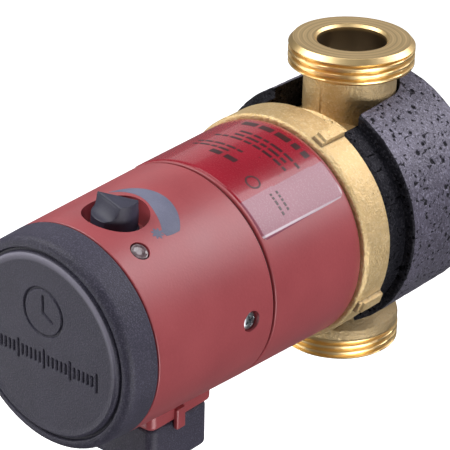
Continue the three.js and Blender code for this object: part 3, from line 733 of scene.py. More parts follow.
def housing_body():
    """Turned housing behind the union ring: threaded spigot, chamber wall and closed back."""
    front, step = HOUSING_LOW[1], HOUSING_STEP_Y
    path = rounded([
        (0, 12.5, 0), (HOUSING_R - 2, 12.5, 0), (HOUSING_R, 10.5, 0), (HOUSING_R, step, 0),
        (SPIGOT_R, step, 0.4), (SPIGOT_R, front, 0.5), (29.5, front, 0), (29.5, -31.8, 0), (27, -31.8, 0),
        (27, -16, 0), (12, -16, 0), (12, 8.5, 0), (0, 8.5, 0),
    ])
    path = with_steps(path, 0.5)

    def spigot_thread(radius, height, angle):
        wave = (height / SPIGOT_THREAD_PITCH - angle / (2 * math.pi)) % 1.0
        root = 1 - smooth(0.2, 0.8, 1 - np.abs(2 * wave - 1))
        threaded = (radius > SPIGOT_R - 0.1) * (height < step - 0.8)
        return -SPIGOT_THREAD_DEPTH * root * threaded

    body = turned("housing_body", path, relief=spigot_thread)
    bore_path = np.array([[0, 4], [BORE_R, 4], [BORE_R, 60], [0, 60]], float)
    for side in (1, -1):
        bore = turned("bore_tool", bore_path, round_pipe, 96)
        if side < 0:
            points = points_of(bore) * np.array([1, -1, -1])
            bore.data.vertices.foreach_set("co", (points * MM).astype(np.float32).ravel())
            bore.data.update()
        carve(body, ("DIFFERENCE", bore))
    body.data.shade_smooth()
    body.data.set_sharp_from_angle(angle=math.radians(32))
    return body


LUG_COUNT = 4
LUG_START_DEG = 25.5
LUG_HEIGHT = 2.2
LUG_FRONT_Y = -39.2
LUG_STEP_Y = -37.5
RING_R = 38.85
PAD_HEIGHT = 0.22


def union_ring():
    """Cast ring with a rounded front lip. A lug is a block across the arc and along the axis, lower in
    front of its step, and a low pad stands between every second pair of lugs. Painted shade lies
    along the feet of the lugs, as narrow bell curves of the distance from their edges."""
    front, back, outer = RING_LOW[1], RING_HIGH[1], RING_R
    path = rounded([
        (31.5, front + 1.5, 0), (31.5, front, 0.3), (outer, front, 1.1), (outer, back, 0.5),
        (35.0, back, 0.2), (35.0, -37.4, 0), (31.5, -37.4, 0),
    ])
    path = with_steps(path, 0.22)

    pitch = 2 * math.pi / LUG_COUNT

    def from_lug(angle):
        """Distance along the arc from the nearest lug, turned over at every second lug."""
        turned_by = (angle - math.radians(LUG_START_DEG) + pitch / 2) / pitch
        number = np.floor(turned_by)
        mirror = np.where(number % 2 == 0, 1.0, -1.0)
        return (turned_by - number - 0.5) * pitch * outer * mirror

    def lugs(radius, height, angle):
        across = from_lug(angle)
        along = smooth(LUG_FRONT_Y - 0.1, LUG_FRONT_Y + 0.2, height)
        along = along * smooth(back - 0.05, back - 0.35, height)
        block = smooth(-2.2, -1.95, across) * smooth(2.15, 1.85, across)
        slope = 1.0 - 0.16 * smooth(-1.7, 1.7, across)
        step = smooth(LUG_STEP_Y - 0.2, LUG_STEP_Y + 0.2, height)
        lug = LUG_HEIGHT * block * slope * along * (0.58 + 0.42 * step)
        pad = smooth(2.2, 2.5, across)
        seam = np.exp(-(((across - 2.35) / 0.22) ** 2)) * along
        low = (PAD_HEIGHT * pad + 0.25 * seam) * smooth(-39.6, -38.6, height)
        return (lug + low) * (radius > outer - 0.9)

    piece = turned("union_ring_cast", path, columns=1000, relief=lugs, smooth_deg=28.0)
    points = points_of(piece)
    push_along_normals(piece, ripple(points, 12.0, 7) * 0.10 + ripple(points, 2.6, 9) * 0.03)
    across, height = from_lug(np.arctan2(points[:, 0], points[:, 2])), points[:, 1]
    # Painted shade in the creases at the feet of the lugs: along their sides, front ends and steps.
    sides = np.exp(-(((np.abs(across) - 2.25) / 0.28) ** 2)) * smooth(-39.7, -39.3, height)
    front_foot = np.exp(-(((height - LUG_FRONT_Y + 0.05) / 0.28) ** 2))
    step_foot = 0.8 * np.exp(-(((height - LUG_STEP_Y + 0.1) / 0.22) ** 2))
    ends = (front_foot + step_foot) * smooth(2.4, 2.1, np.abs(across))
    outward = np.hypot(points[:, 0], points[:, 2]) > outer - 0.5
    set_attribute(piece, "painted_shade", 0.75 * np.maximum(sides, ends) * outward)
    return piece


UPPER_SLOT = 16.1
LOWER_SLOT = 18.6
SHELL_BORE_R = 33.0
SHELL_FLOOR_Y = 13.2
SHELL_FRONT_Y = -18.0
COLLAR_BORE_R = 34.9
COLLAR_R = 38.2


def shell_columns():
    """One entry per column round the shell: which slot or side it is in, its place across the slot
    or along the side, and how far forward the wall reaches there. In a slot the wall ends on a half
    circle, and at a slot's edge it runs forward to the front face over a short slanted stretch."""
    front = SHELL_FRONT_Y
    kinds, where, reach = [], [], []
    for slot, side, width in ((0, 1, UPPER_SLOT), (2, 3, LOWER_SLOT)):
        turn = np.linspace(-math.pi / 2, math.pi / 2, 41)
        kinds.append(np.full(41, slot))
        where.append(width * np.sin(turn))
        reach.append(width * np.cos(turn))
        edge = np.linspace(0, 1, 15)[1:]
        kinds.append(np.full(14, side))
        where.append(edge * 0.012)
        reach.append(front * edge)
        kinds.append(np.full(178, side))
        where.append(np.linspace(0.012, 0.988, 180)[1:-1])
        reach.append(np.full(178, front))
        kinds.append(np.full(14, side))
        where.append(1 - edge[::-1] * 0.012)
        reach.append(front * edge[::-1])
    return np.concatenate(kinds), np.concatenate(where), np.concatenate(reach)


def shell_angle(radius, kinds, where):
    """Angle of each column at one radius: slots keep a constant width across, and the sides are
    shared evenly between the slots' edges."""
    upper_edge = math.asin(UPPER_SLOT / radius)
    lower_edge = math.asin(LOWER_SLOT / radius)
    side = upper_edge + where * (math.pi - lower_edge - upper_edge)
    upper = np.arcsin(np.clip(where / radius, -1, 1))
    far_side = math.pi + lower_edge + where * (math.pi - lower_edge - upper_edge)
    return np.select([kinds == 0, kinds == 1, kinds == 2], [upper, side, math.pi + upper], far_side)


def insulation_shell():
    """Foam cup. Each column is one outline: out along the inner floor, forward up the bore, out and
    round the collar where there is no slot, round the front rim, back along the outside and in over
    the closed back. Points near a random centre sink into pits, and beads bulge between their
    edges."""
    back, outer = SHELL_HIGH[1], SHELL_HIGH[0]
    kinds, where, reach = shell_columns()
    front = reach.min()
    rows = []

    def row(radius, y, at_radius=None):
        angle = shell_angle(at_radius or radius, kinds, where)
        rows.append(round_motor(np.full(len(where), radius), y, angle))

    for radius in (0, 10, 22, SHELL_BORE_R):
        row(radius, np.full(len(where), SHELL_FLOOR_Y), SHELL_BORE_R)
    for share in (0.35, 0.7, 0.94):
        row(SHELL_BORE_R, SHELL_FLOOR_Y + (reach - SHELL_FLOOR_Y) * share)
    collar = (SHELL_LOW[1] - front) * smooth(0.90, 1.0, reach / front)
    for share in (0.0, 0.5, 1.0):
        row(COLLAR_BORE_R, reach + collar * share)
    row(COLLAR_R - 0.5, reach + collar)
    for share in (0.95, 0.5, 0.0):
        row(COLLAR_R, reach + collar * share)
    rim = rounded([(COLLAR_R + 0.2, 0, 0), (outer, 0, 0.9), (outer, 2, 0)])[:-1]
    for radius, inward in with_steps(rim, 0.55):
        row(radius, reach + inward)
    first_outside = len(rows)
    for share in np.linspace(0, 1, 86)[1:-1]:
        row(outer, reach + 0.9 + (back - 1.6 - reach - 0.9) * share)
    heel = rounded([(outer, back - 3, 0), (outer, back, 1.6), (outer - 3, back, 0)])[1:-1]
    for radius, y in heel:
        row(radius, np.full(len(where), y), outer)
    for radius in np.linspace(outer - 1.6, 0, 40)[1:]:
        row(radius, np.full(len(where), back), outer)
    piece = closed_grid("foam_shell", np.array(rows), 50.0)
    points = points_of(piece)
    outside = np.arange(len(points)) > (first_outside - 2) * len(where)
    distance, tag = cells(points, 2.6, 11)
    size = 0.35 + 0.75 * tag**2
    pits = smooth(size, size * 0.6, distance) * (tag > 0.35)
    beads, _ = cells(points, 4.2, 17)
    push_along_normals(piece, -0.5 * pits - 0.10 * smooth(1.0, 2.6, beads))
    set_attribute(piece, "pit", pits)
    set_attribute(piece, "outside", outside)
    return piece


# ------------------------------------------------------------------ painted casings
def casing_radius(y):
    """Radius of the painted casings at a place along the motor axis: two straight tapers."""
    return np.interp(y, [CONTROL_FRONT_Y, SEAM_Y, SLEEVE_BACK_Y], [CAP_R, SEAM_R, SLEEVE_BACK_R])


def motor_sleeve():
    """Tapered sleeve turned from one outline, with a short inner step at its back."""
    back, end = SLEEVE_BACK_Y, SEAM_Y + SEAM_HALF
    path = rounded([
        (SLEEVE_BACK_R - 3, back, 0), (SLEEVE_BACK_R, back, 0.5), (SEAM_R, end, 0.45), (33.2, end, 0),
        (33.4, back - 2.4, 0), (28, back - 2.4, 0), (28, -37.5, 0), (31, -37.5, 0), (31, back, 0),
    ])
    return turned("motor_sleeve", with_steps(path, 2.0))


def on_casing(across, y, lift, centre_deg=0.0):
    """Points on the painted casings: a distance round them from an angle, a place along the motor
    axis, and a height above the paint."""
    radius = casing_radius(y)
    return round_motor(radius + lift, y, math.radians(centre_deg) + across / radius)


def thin_patch(name, across, y, lift, centre_deg=0.0, sunk=-0.06):
    """A closed sheet on the casings from two grids of place: a lifted top and a sunk underside."""
    top = on_casing(across, y, lift, centre_deg)
    under = on_casing(across, y, np.full_like(across, sunk), centre_deg)
    rows, columns = across.shape
    points = np.vstack([top.reshape(-1, 3), under.reshape(-1, 3)])
    faces = grid_faces(rows, columns, False, False)
    faces += [face[::-1] for face in grid_faces(rows, columns, False, False, rows * columns)]
    index = np.arange(rows * columns).reshape(rows, columns)
    border = np.concatenate([index[0], index[1:, -1], index[-1, -2::-1], index[-2:0:-1, 0]])
    after = np.roll(border, -1)
    low = rows * columns
    faces += np.stack([after, border, border + low, after + low], axis=1).tolist()
    return write_mesh(name, points, faces)


LABEL_FROM_DEG = -40.0
LABEL_TO_DEG = 55.0
PRINT_END_DEG = 34.0


def rating_label():
    """Laminated label: a rounded rectangle bent round the sleeve, domed at its edge."""
    middle_r = casing_radius(-62.0)
    low_y, high_y = LABEL_LOW[1], LABEL_HIGH[1]
    start, stop = np.radians([LABEL_FROM_DEG, LABEL_TO_DEG]) * middle_r
    corner = 2.2
    ease = 0.5 - 0.5 * np.cos(np.linspace(0, math.pi, 241))
    across = (start + (stop - start) * ease)[None, :]
    from_end = np.minimum(across - start, stop - across)
    trim = corner - np.sqrt(np.clip(corner**2 - np.clip(corner - from_end, 0, corner) ** 2, 0, None))
    share = (0.5 - 0.5 * np.cos(np.linspace(0, math.pi, 61)))[:, None]
    y = low_y + trim + (high_y - low_y - 2 * trim) * share
    across = across + 0 * y
    from_side = np.minimum(y - low_y - trim, high_y - trim - y)
    dome = np.sqrt(smooth(-0.02, 0.8, np.minimum(from_side, from_end)))
    piece = thin_patch("label_sheet", across, y, 0.04 + 0.22 * dome)
    points = points_of(piece)
    angle = np.degrees(np.arctan2(points[:, 0], points[:, 2]))
    set_attribute(piece, "printed", angle < PRINT_END_DEG)
    # Painted highlight: a pale line along the film's end and its long edge, where the edge catches the
    # light.
    from_edge = (LABEL_TO_DEG - angle) * math.radians(1) * middle_r
    near_end = smooth(1.25, 0.75, from_edge) * smooth(0.15, 0.4, from_edge)
    near_side = smooth(1.1, 0.6, high_y - points[:, 1]) * smooth(6.0, 2.0, from_edge)
    set_attribute(piece, "border", np.maximum(near_end, near_side) * (angle > PRINT_END_DEG))
    return piece


def printed_blocks(name, blocks, lift=0.30):
    """Flat print: one thin curved block for each (start, stop, low y, high y), joined as one piece."""
    points, faces = [], []
    for start, stop, low_y, high_y in blocks:
        across = np.linspace(start, stop, 5)[None, :] + np.zeros((2, 1))
        y = np.array([[low_y], [high_y]]) + np.zeros((1, 5))
        top, under = on_casing(across, y, lift), on_casing(across, y, lift - 0.08)
        both = np.concatenate([top, under]).reshape(-1, 3)
        first = sum(len(part) for part in points)
        loop = [0, 1, 2, 3, 4, 9, 8, 7, 6, 5]
        block = grid_faces(2, 5, False, False) + [f[::-1] for f in grid_faces(2, 5, False, False, 10)]
        block += [[b, a, a + 10, b + 10] for a, b in zip(loop, loop[1:] + loop[:1])]
        faces += [[corner + first for corner in face] for face in block]
        points.append(both)
    return write_mesh(name, np.vstack(points), faces)


def label_print():
    """Rows of plain bars of uneven length in place of wording, and a ruled line. Each row is its
    place along the motor axis, its height, where it starts and stops, and the gap between bars."""
    draw = np.random.default_rng(21)
    blocks = []
    lines = [(-47.0, 2.6, -8, 19, 1.4), (-52.4, 1.1, -4, 21, 0.8), (-55.0, 1.1, -4, 17, 0.8),
             (-57.6, 1.1, -10, 20, 0.8), (-60.6, 0.25, -16, 20, 99), (-63.4, 1.0, -12, 6, 0.7),
             (-66.0, 1.0, -12, 3, 0.7), (-69.6, 2.2, -2, 9, 1.6)]
    for y, height, start, stop, gap in lines:
        at = start
        while at < stop:
            length = stop - at if gap > 50 else min(draw.uniform(1.2, 3.6) * (1 + height / 3), stop - at)
            blocks.append((at, at + length, y, y + height))
            at += length + min(gap, 2.0)
    for y in (-66.5, -69.2):
        at = 23.5
        while at < 30:
            length = draw.uniform(0.7, 1.6)
            blocks.append((at, at + length, y, y + 0.9))
            at += length + 0.5
    return printed_blocks("label_print", blocks)


def label_symbol():
    """Plain ring beside the last lines of print."""
    turn = np.linspace(0, 2 * math.pi, 49)[None, :]
    radius = np.array([[2.0], [2.6]])
    across = 17.5 + radius * np.cos(turn)
    y = -71.0 + radius * np.sin(turn)
    return thin_patch("label_symbol", across, y, 0.30 + 0 * across, sunk=0.2)


def dial_print():
    """Growing crescent beside the knob: for each bearing round the knob the print lies between an
    inner radius that bulges from the knob's well and an outer radius that grows, then closes."""
    bearing = np.linspace(-52, 72, 90)[None, :]
    bulge = np.where(bearing < 22, 0.00050, 0.00175)
    inner = 10.95 + bulge * (bearing - 22) ** 2
    outer = 13.9 + 5.8 * (bearing + 52) / 110
    outer = np.where(bearing > 58, outer - (bearing - 58) * 0.24, outer)
    outer = np.maximum(outer, inner + 0.15)
    share = np.linspace(0, 1, 10)[:, None]
    radius = inner + (outer - inner) * share
    turn = np.radians(bearing)
    across, y = radius * np.sin(turn), KNOB_Y + radius * np.cos(turn)
    return thin_patch("dial_print", across, y, 0.035 + 0 * radius, KNOB_DEG, -0.02)


def frost_mark():
    """Small eight-armed mark at the scale's full end: its radius swells at each arm."""
    turn = np.linspace(0, 2 * math.pi, 97)[None, :]
    radius = np.linspace(0.02, 1, 6)[:, None] * (1.15 + 0.95 * np.abs(np.cos(4 * turn)) ** 1.5)
    across = 14.1 + radius * np.cos(turn)
    y = KNOB_Y + 3.2 + radius * np.sin(turn)
    return thin_patch("frost_mark", across, y, 0.035 + 0 * radius, KNOB_DEG, -0.02)


SOCKET_HALF_X = 17.3
SOCKET_HALF_Y = 14.3
SOCKET_BOTTOM = -36.0
KNOB_WELL_R = 10.1
KNOB_PAD_R = 11.7
LAMP_HOLE_R = 3.1
SCREW_WELL_R = 3.4


def control_casing():
    """Control casing: a turned sleeve, joined to the knob's pad, the screw pads and the socket walls,
    then cut by the knob's well, the lamp's and screws' holes and the socket's room."""
    back, front = SEAM_Y - SEAM_HALF, CONTROL_FRONT_Y
    path = rounded([
        (33.5, back - 1, 0), (33.5, back, 0), (SEAM_R, back, 0.45), (CAP_R, front, 0.4),
        (CAP_R - 2.4, front, 0), (33.3, back - 2, 0), (33.5, back - 1, 0),
    ])[1:]
    casing = turned("control_casing", with_steps(path[:-1], 3.0), columns=288)

    def drum(radius, low, high, angle_deg, y):
        path = np.array([[0, low], [radius, low], [radius, high], [0, high]])
        return radial_piece("tool", path, angle_deg, y)

    def socket_box(half_x, half_y, low, high, corner):
        return rounded_box("tool", (-half_x, PLUG_Y - half_y, low), (half_x, PLUG_Y + half_y, high), corner)

    walls = socket_box(SOCKET_HALF_X, SOCKET_HALF_Y, SOCKET_BOTTOM, -17.7, 2.6)
    changes = [("UNION", drum(KNOB_PAD_R, 24.6, 32.5, KNOB_DEG, KNOB_Y))]
    changes += [("UNION", drum(5.0, 30.6, 34.0, side * 90, SCREW_Y)) for side in (1, -1)]
    changes += [
        ("UNION", walls),
        ("DIFFERENCE", drum(KNOB_WELL_R, 27, 40, KNOB_DEG, KNOB_Y)),
        ("DIFFERENCE", drum(2.6, 20, 30, KNOB_DEG, KNOB_Y)),
        ("DIFFERENCE", drum(LAMP_HOLE_R, 28, 40, LAMP_DEG, LAMP_Y)),
    ]
    for side in (1, -1):
        changes += [
            ("DIFFERENCE", drum(SCREW_WELL_R, 32.6, 40, side * 90, SCREW_Y)),
            ("DIFFERENCE", drum(1.7, 28, 36, side * 90, SCREW_Y)),
        ]
    changes += [("DIFFERENCE", socket_box(15, 12, -40, -20, 1.4))]
    carve(casing, *changes)
    bevel = casing.modifiers.new("rims", "BEVEL")
    bevel.width = 0.28 * MM
    bevel.segments = 2
    bevel.limit_method = "ANGLE"
    bevel.angle_limit = math.radians(50)
    casing.data.shade_smooth()
    casing.data.set_sharp_from_angle(angle=math.radians(40))
    weigh = casing.modifiers.new("even_shading", "WEIGHTED_NORMAL")
    weigh.keep_sharp = True
    weigh.weight = 100
    return casing


def latch_tab():
    """Small painted finger that holds the plug, standing beside the socket's wall."""
    low = (SOCKET_HALF_X - 0.5, PLUG_Y - 4, SOCKET_BOTTOM - 2.8)
    high = (SOCKET_HALF_X + 1.3, PLUG_Y, SOCKET_BOTTOM + 4.2)
    return rounded_box("latch_tab", low, high, 0.6)


def seam_gasket():
    """Seal turned from a flat band with rounded outer edges."""
    low, high = GASKET_LOW[1], GASKET_HIGH[1]
    path = rounded([(33.7, low, 0), (35.3, low, 0.1), (35.3, high, 0.1), (33.7, high, 0)])
    return turned("seam_seal", path)


def level_rings(path, bearing):
    """Level rings of points, one for each (radius, height), at the bearings of a crown above them."""
    radius, height = np.array(path, float)[:, :1], np.array(path, float)[:, 1:]
    return np.stack([radius * np.cos(bearing), height + 0 * bearing, radius * np.sin(bearing)], -1)


def thermostat_knob():
    """Knob: heights over its own radius and bearing. A wedge-shaped grip with a pointed tip stands
    in the middle, its flanks fall in a hollow curve to a rim of one height, and its blunt end drops
    straight down. A flank's fall depends on how far a point lies from the grip's edge towards the
    rim."""
    rim, base, stem_end, top, rim_top = 7.25, 27.5, 20.0, 39.0, 34.4
    share = np.linspace(0, 1, 120)[:, None]
    bearing = np.linspace(0, 2 * math.pi, 320, endpoint=False)[None, :]
    across = rim * share * np.cos(bearing)
    along = rim * share * np.sin(bearing)
    tip = np.array([-6.9, 0.9])
    fall = np.zeros_like(across)
    edge = np.full_like(across, 9.0)
    for corner, side in ((np.array([4.7, 3.5]), 1), (np.array([5.1, -4.3]), -1)):
        run = (corner - tip) / np.linalg.norm(corner - tip)
        out = np.array([-run[1], run[0]]) * side
        outside = (across - tip[0]) * out[0] + (along - tip[1]) * out[1]
        forward = across * out[0] + along * out[1]
        to_rim = -forward + np.sqrt(np.clip(rim**2 - (rim * share) ** 2 + forward**2, 0, None))
        fall = np.maximum(fall, np.clip(outside, 0, None) / (np.clip(outside, 0, None) + to_rim + 1e-6))
        edge = np.minimum(edge, -outside)
    height = rim_top + (top - rim_top) * (1 - fall) ** 2.3
    height = height - 0.22 * smooth(0.45, -0.1, edge) * smooth(-0.5, -0.05, edge)
    height = height - 0.03 * np.clip(edge, 0, 2) ** 2
    blunt_end = 5.9 - 0.07 * (along + 0.4) ** 2
    height = height + (29.6 - height) * smooth(-0.10, 0.14, across - blunt_end)
    crown = np.stack([across, height - 0.25 * smooth(0.965, 1.0, share), along], -1)
    side = [(rim, base + 0.4), (rim - 0.4, base), (2.2, base), (2.2, stem_end), (0, stem_end)]
    grid = np.concatenate([crown, level_rings(side, bearing)])
    return closed_grid("knob_grip", pointed_out(grid, KNOB_DEG, KNOB_Y), 40.0)


def status_lamp():
    """Lamp lens: shallow dish inside a raised rim."""
    path = rounded([
        (0, 30, 0), (2.8, 30, 0), (2.8, 34.0, 0.3), (2.3, 34.2, 0.15), (1.9, 33.75, 0.3), (0.9, 33.6, 0.4),
        (0, 33.6, 0),
    ])
    return radial_piece("lamp_lens", path, LAMP_DEG, LAMP_Y)


def cross_screw(name, angle_deg):
    """Pan-head screw: heights over radius and bearing, with a cross-shaped recess that narrows as it
    goes down, above a plain shank."""
    head, top, under, shank = 2.9, 35.0, 32.9, 1.4
    share = np.linspace(0, 1, 40)[:, None]
    bearing = np.linspace(0, 2 * math.pi, 144, endpoint=False)[None, :]
    radius = head * share
    turn = bearing + math.radians(20)
    a, b = np.abs(radius * np.cos(turn)), np.abs(radius * np.sin(turn))
    narrow, wide = np.minimum(a, b), np.maximum(a, b)
    depth = smooth(0.50, 0.22, narrow) * smooth(1.95, 1.30, wide)
    height = top - 0.55 * share**4 - 1.15 * depth
    crown = np.stack([radius * np.cos(bearing), height, radius * np.sin(bearing)], -1)
    side = [(head, under + 0.3), (head - 0.2, under), (shank, under), (shank, 25.2), (0, 24.0)]
    grid = np.concatenate([crown, level_rings(side, bearing)])
    return closed_grid(name, pointed_out(grid, angle_deg, SCREW_Y), 40.0)


# ------------------------------------------------------------------ end cap
CAP_DISC_R = 29.2


def stroke(x, z, x0, z0, x1, z1):
    """Distance from points to a straight stroke."""
    run = np.array([x1 - x0, z1 - z0])
    t = np.clip(((x - x0) * run[0] + (z - z0) * run[1]) / (run @ run), 0, 1)
    return np.hypot(x - x0 - t * run[0], z - z0 - t * run[1])


def cap_engraving(x, z):
    """Distance to the nearest engraved stroke: a clock ring with two hands, above a row of
    twenty-five short ticks, every sixth one longer."""
    clock_x, clock_z, clock_r = 0.0, 11.0, 7.6
    distance = np.abs(np.hypot(x - clock_x, z - clock_z) - clock_r)
    distance = np.minimum(distance, stroke(x, z, clock_x, clock_z, clock_x, clock_z + 5.2))
    distance = np.minimum(distance, stroke(x, z, clock_x, clock_z, clock_x + 3.6, clock_z - 2.2))
    for tick in range(25):
        at = -21.0 + tick * 1.75
        tall = 2.9 if tick % 6 == 0 else 1.5
        distance = np.minimum(distance, stroke(x, z, at, -4.5 - tall, at, -4.5 + tall))
    return distance


def end_cap():
    """Cap: turned side and shoulder, a groove, and a raised disc with a rounded rim. Engraving lowers
    the disc wherever a stroke is near, and a painted highlight lies on the rim towards the top."""
    front = CAP_LOW[1]
    side = rounded([
        (29.9, -142.4, 0), (29.9, -129.6, 0), (31.2, -129.6, 0.3), (31.2, -132.8, 0), (CAP_R, -132.8, 0.4),
        (CAP_R - 0.6, -144.0, 2.6), (30.35, -144.15, 0.25), (29.9, -143.2, 0.2), (CAP_DISC_R, -143.3, 0.15),
        (CAP_DISC_R - 0.1, front, 1.3), (26.5, front, 0),
    ])
    side = with_steps(side, 0.8)
    disc_r = np.linspace(26.5, 0, 112)[1:]
    path = np.vstack([[[0, -142.4]], side, np.stack([disc_r, np.full(len(disc_r), front)], 1)])
    columns = 640
    angle = np.linspace(0, 2 * math.pi, columns, endpoint=False)[None, :]
    radius, y = np.repeat(path[:, :1], columns, 1), np.repeat(path[:, 1:], columns, 1)
    on_face = np.abs(y - front) < 1e-6
    cut = smooth(0.52, 0.26, cap_engraving(radius * np.sin(angle), radius * np.cos(angle)))
    dish = 0.30 * smooth(28.6, 26.4, radius)
    y = y + on_face * (dish + 0.55 * cut)
    piece = closed_grid("cap_cover", round_motor(radius, y, angle + 0 * radius), 42.0)
    at_rim = (radius < CAP_DISC_R + 0.05) * (y < front + 0.9)
    rim = smooth(CAP_DISC_R - 1.9, CAP_DISC_R - 0.9, radius) * at_rim
    upper = smooth(-0.1, 0.9, np.cos(angle - math.radians(12)))
    rim_highlight = 0.75 * rim * upper
    # Painted highlight: each ring takes the value of the ring before it, which carries the pale band in over
    # the bend.
    set_attribute(piece, "rim_highlight", np.concatenate([rim_highlight[0, :1], rim_highlight[:-2].ravel(), rim_highlight[-1, :1]]))
    return piece


# ------------------------------------------------------------------ plug
PLUG_GRIP_BOTTOM = -52.0


def plug_body():
    """Grip of the plug: a box with rounded upright edges, drawn in at its top and bottom rims."""
    low = (PLUG_LOW[0], PLUG_LOW[1], PLUG_GRIP_BOTTOM)
    high = (PLUG_HIGH[0], PLUG_HIGH[1], SOCKET_BOTTOM - 0.3)
    return rounded_box("plug_grip", low, high, 3.2, steps=8)


def plug_insert():
    """Narrower part of the plug that fills the socket."""
    low = (-14.7, PLUG_Y - 11.7, SOCKET_BOTTOM - 2)
    high = (14.7, PLUG_Y + 11.7, -20.4)
    return rounded_box("plug_insert", low, high, 1.6)


def plug_spigot():
    """Short tube below the grip that the cord nut screws on to."""
    path = rounded([
        (3.6, -44, 0), (7.5, -44, 0), (7.5, -57, 0.5), (5.9, -57, 0.2), (5.9, -50, 0), (3.6, -50, 0),
    ])
    return moved_to_plug(turned("plug_spigot", path, round_pipe, 96))


def moved_to_plug(piece):
    """A piece turned round the pipe axis, moved along the motor axis to the plug."""
    points = points_of(piece) + np.array([0, PLUG_Y, 0])
    piece.data.vertices.foreach_set("co", (points * MM).astype(np.float32).ravel())
    piece.data.update()
    return piece


def cord_nut():
    """Nut of the cord entry: a domed ring whose side is drawn in by shallow scallops."""
    low, high = NUT_LOW[2], NUT_HIGH[2]
    path = rounded([
        (3.8, low + 3.7, 0), (3.8, low, 0.6), (8.2, low, 2.2), (9.5, low + 3.2, 1.0), (9.5, high, 0.4),
        (7.8, high, 0), (7.8, low + 3.7, 0),
    ])

    def scallops(radius, height, angle):
        return -0.45 * (0.5 + 0.5 * np.cos(18 * angle)) ** 2 * smooth(8.4, 9.2, radius)

    return moved_to_plug(turned("cord_nut_ring", with_steps(path, 0.5), round_pipe, 216, scallops))


# ------------------------------------------------------------------ camera, light and floor
def camera_and_light():
    """Long-lens camera above and to the right of the motor end, looking along the motor axis."""
    azimuth, elevation, roll = np.radians([39.49, 26.30, 1.33])
    target, distance, lens = np.array([0.0238, -0.0921, 0.0279]), 0.600, 162.5
    level_back = math.cos(elevation)
    back = np.array([math.sin(azimuth) * level_back, -math.cos(azimuth) * level_back, math.sin(elevation)])
    level = np.cross([0, 0, 1], back)
    level /= np.linalg.norm(level)
    above = np.cross(back, level)
    right = level * math.cos(roll) + above * math.sin(roll)
    up = above * math.cos(roll) - level * math.sin(roll)
    camera = bpy.data.objects.new("camera", bpy.data.cameras.new("camera"))
    camera.data.lens = lens
    camera.data.sensor_width = 36.0
    camera.data.clip_start = 0.01
    turn = np.eye(4)
    turn[:3, 0], turn[:3, 1], turn[:3, 2], turn[:3, 3] = right, up, back, target + back * distance
    camera.matrix_world = Matrix(turn)
    bpy.context.scene.collection.objects.link(camera)
    bpy.context.scene.camera = camera


def softbox(name, place, aim, width, height, power, tint=(1, 1, 1)):
    """Flat rectangular light at a place, turned towards its aim."""
    light = bpy.data.lights.new(name, "AREA")
    light.shape = "RECTANGLE"
    light.size, light.size_y = width, height
    light.energy = power
    light.color = tint
    box = bpy.data.objects.new(name, light)
    box.location = place
    box.rotation_euler = (Vector(aim) - Vector(place)).to_track_quat("-Z", "Y").to_euler()
    bpy.context.scene.collection.objects.link(box)


FLOOR_HALF = 3.0
FLOOR_DROP = 0.4


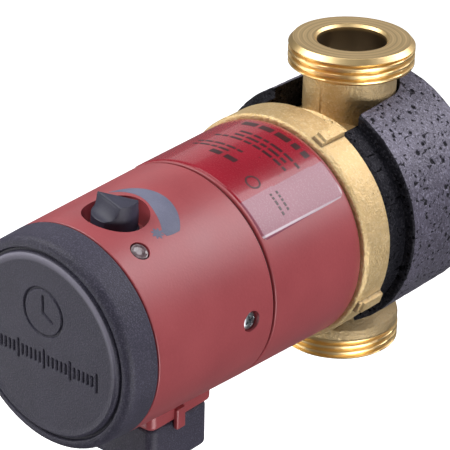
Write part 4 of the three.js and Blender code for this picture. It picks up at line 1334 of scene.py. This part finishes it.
def surroundings():
    """Pale floor well below the pump, dim white surroundings, a key light high behind on the right,
    a soft fill from the upper left front, low lights from the right and left, a light overhead and a
    weak one behind on the left."""
    scene = bpy.context.scene
    scene.view_settings.view_transform = "Standard"
    world = bpy.data.worlds.new("studio")
    scene.world = world
    world.use_nodes = True
    world.node_tree.nodes["Background"].inputs["Color"].default_value = (0.97, 0.98, 1.0, 1)
    world.node_tree.nodes["Background"].inputs["Strength"].default_value = 0.16
    mesh = bpy.data.meshes.new("floor")
    square = [(x * FLOOR_HALF, y * FLOOR_HALF, -FLOOR_DROP) for x, y in ((-1, -1), (1, -1), (1, 1), (-1, 1))]
    mesh.from_pydata(square, [], [(0, 1, 2, 3)])
    floor = bpy.data.objects.new("floor", mesh)
    scene.collection.objects.link(floor)
    paper = Finish("pale_floor", Roughness=0.8)
    paper.colour(paper.mix(paper.noise(3.0, 2.0), (0.90, 0.90, 0.90), (0.94, 0.94, 0.94)))
    paper.shader.inputs["Emission Color"].default_value = (1, 1, 1, 1)
    paper.shader.inputs["Emission Strength"].default_value = 0.9
    mesh.materials.append(paper.material)
    floor.visible_diffuse = False
    floor.visible_glossy = False
    middle = (0.0, -0.06, 0.0)
    softbox("key", (0.36, 0.52, 0.52), middle, 0.42, 0.80, 5.2, (0.97, 0.96, 1.0))
    softbox("fill", (-0.62, -0.55, 0.80), middle, 0.7, 0.6, 9.0)
    softbox("side", (0.84, -0.24, -0.42), middle, 0.7, 0.7, 10.0)
    softbox("left", (-0.75, -0.65, -0.35), middle, 0.6, 0.7, 4.0)
    softbox("top", (-0.25, -0.05, 1.00), middle, 0.6, 0.6, 2.5)
    softbox("back", (-0.62, 0.66, 0.34), middle, 0.6, 0.4, 0.4)


finish_cad_nodes()

place(housing_body(), CAST_BRASS, "pump_body", "cast_brass", "pump_housing")
place(upper_port(), PORT_BRASS, "pump_body", "cast_brass")
place(lower_port(), PORT_BRASS, "pump_body", "cast_brass")
place(union_ring(), CAST_BRASS, "pump_body", "cast_brass", "union_ring")
shell = place(insulation_shell(), FOAM, "pump_body", "foam", "insulation_shell")
# Faces inside the shell and on its front face take the painted-shade copy of the foam.
line_inside(shell, SHADED_FOAM)
place(motor_sleeve(), RED, "pump_body", "red_paint", "stator_housing")
place(rating_label(), LAMINATE, "pump_body", "label_film", "rating_label")
place(label_print(), PRINT_DARK, "pump_body", "label_film")
place(label_symbol(), PRINT_DARK, "pump_body", "label_film")
place(dial_print(), PRINT_BLUE, "pump_body", "label_film")
place(frost_mark(), PRINT_BLUE, "pump_body", "label_film")
place(control_casing(), RED, "pump_body", "red_paint", "control_housing")
place(latch_tab(), RED, "pump_body", "red_paint")
place(seam_gasket(), RUBBER, "pump_body", "seal_rubber", "seam_gasket")
place(thermostat_knob(), SLATE, "knob", "slate_plastic", "thermostat_knob")
place(status_lamp(), LENS, "pump_body", "lamp_lens", "status_lamp")
place(cross_screw("screw_right", 90), ZINC, "pump_body", "zinc_steel", "housing_screw_right")
place(cross_screw("screw_left", -90), ZINC, "pump_body", "zinc_steel", "housing_screw_left")
place(end_cap(), BLACK, "cap", "black_plastic", "end_cap")
place(plug_body(), BLACK, "plug", "black_plastic", "plug_body")
place(plug_insert(), BLACK, "plug", "black_plastic")
place(plug_spigot(), BLACK, "plug", "black_plastic")
place(cord_nut(), BLACK, "plug", "black_plastic", "cord_nut")

camera_and_light()
surroundings()
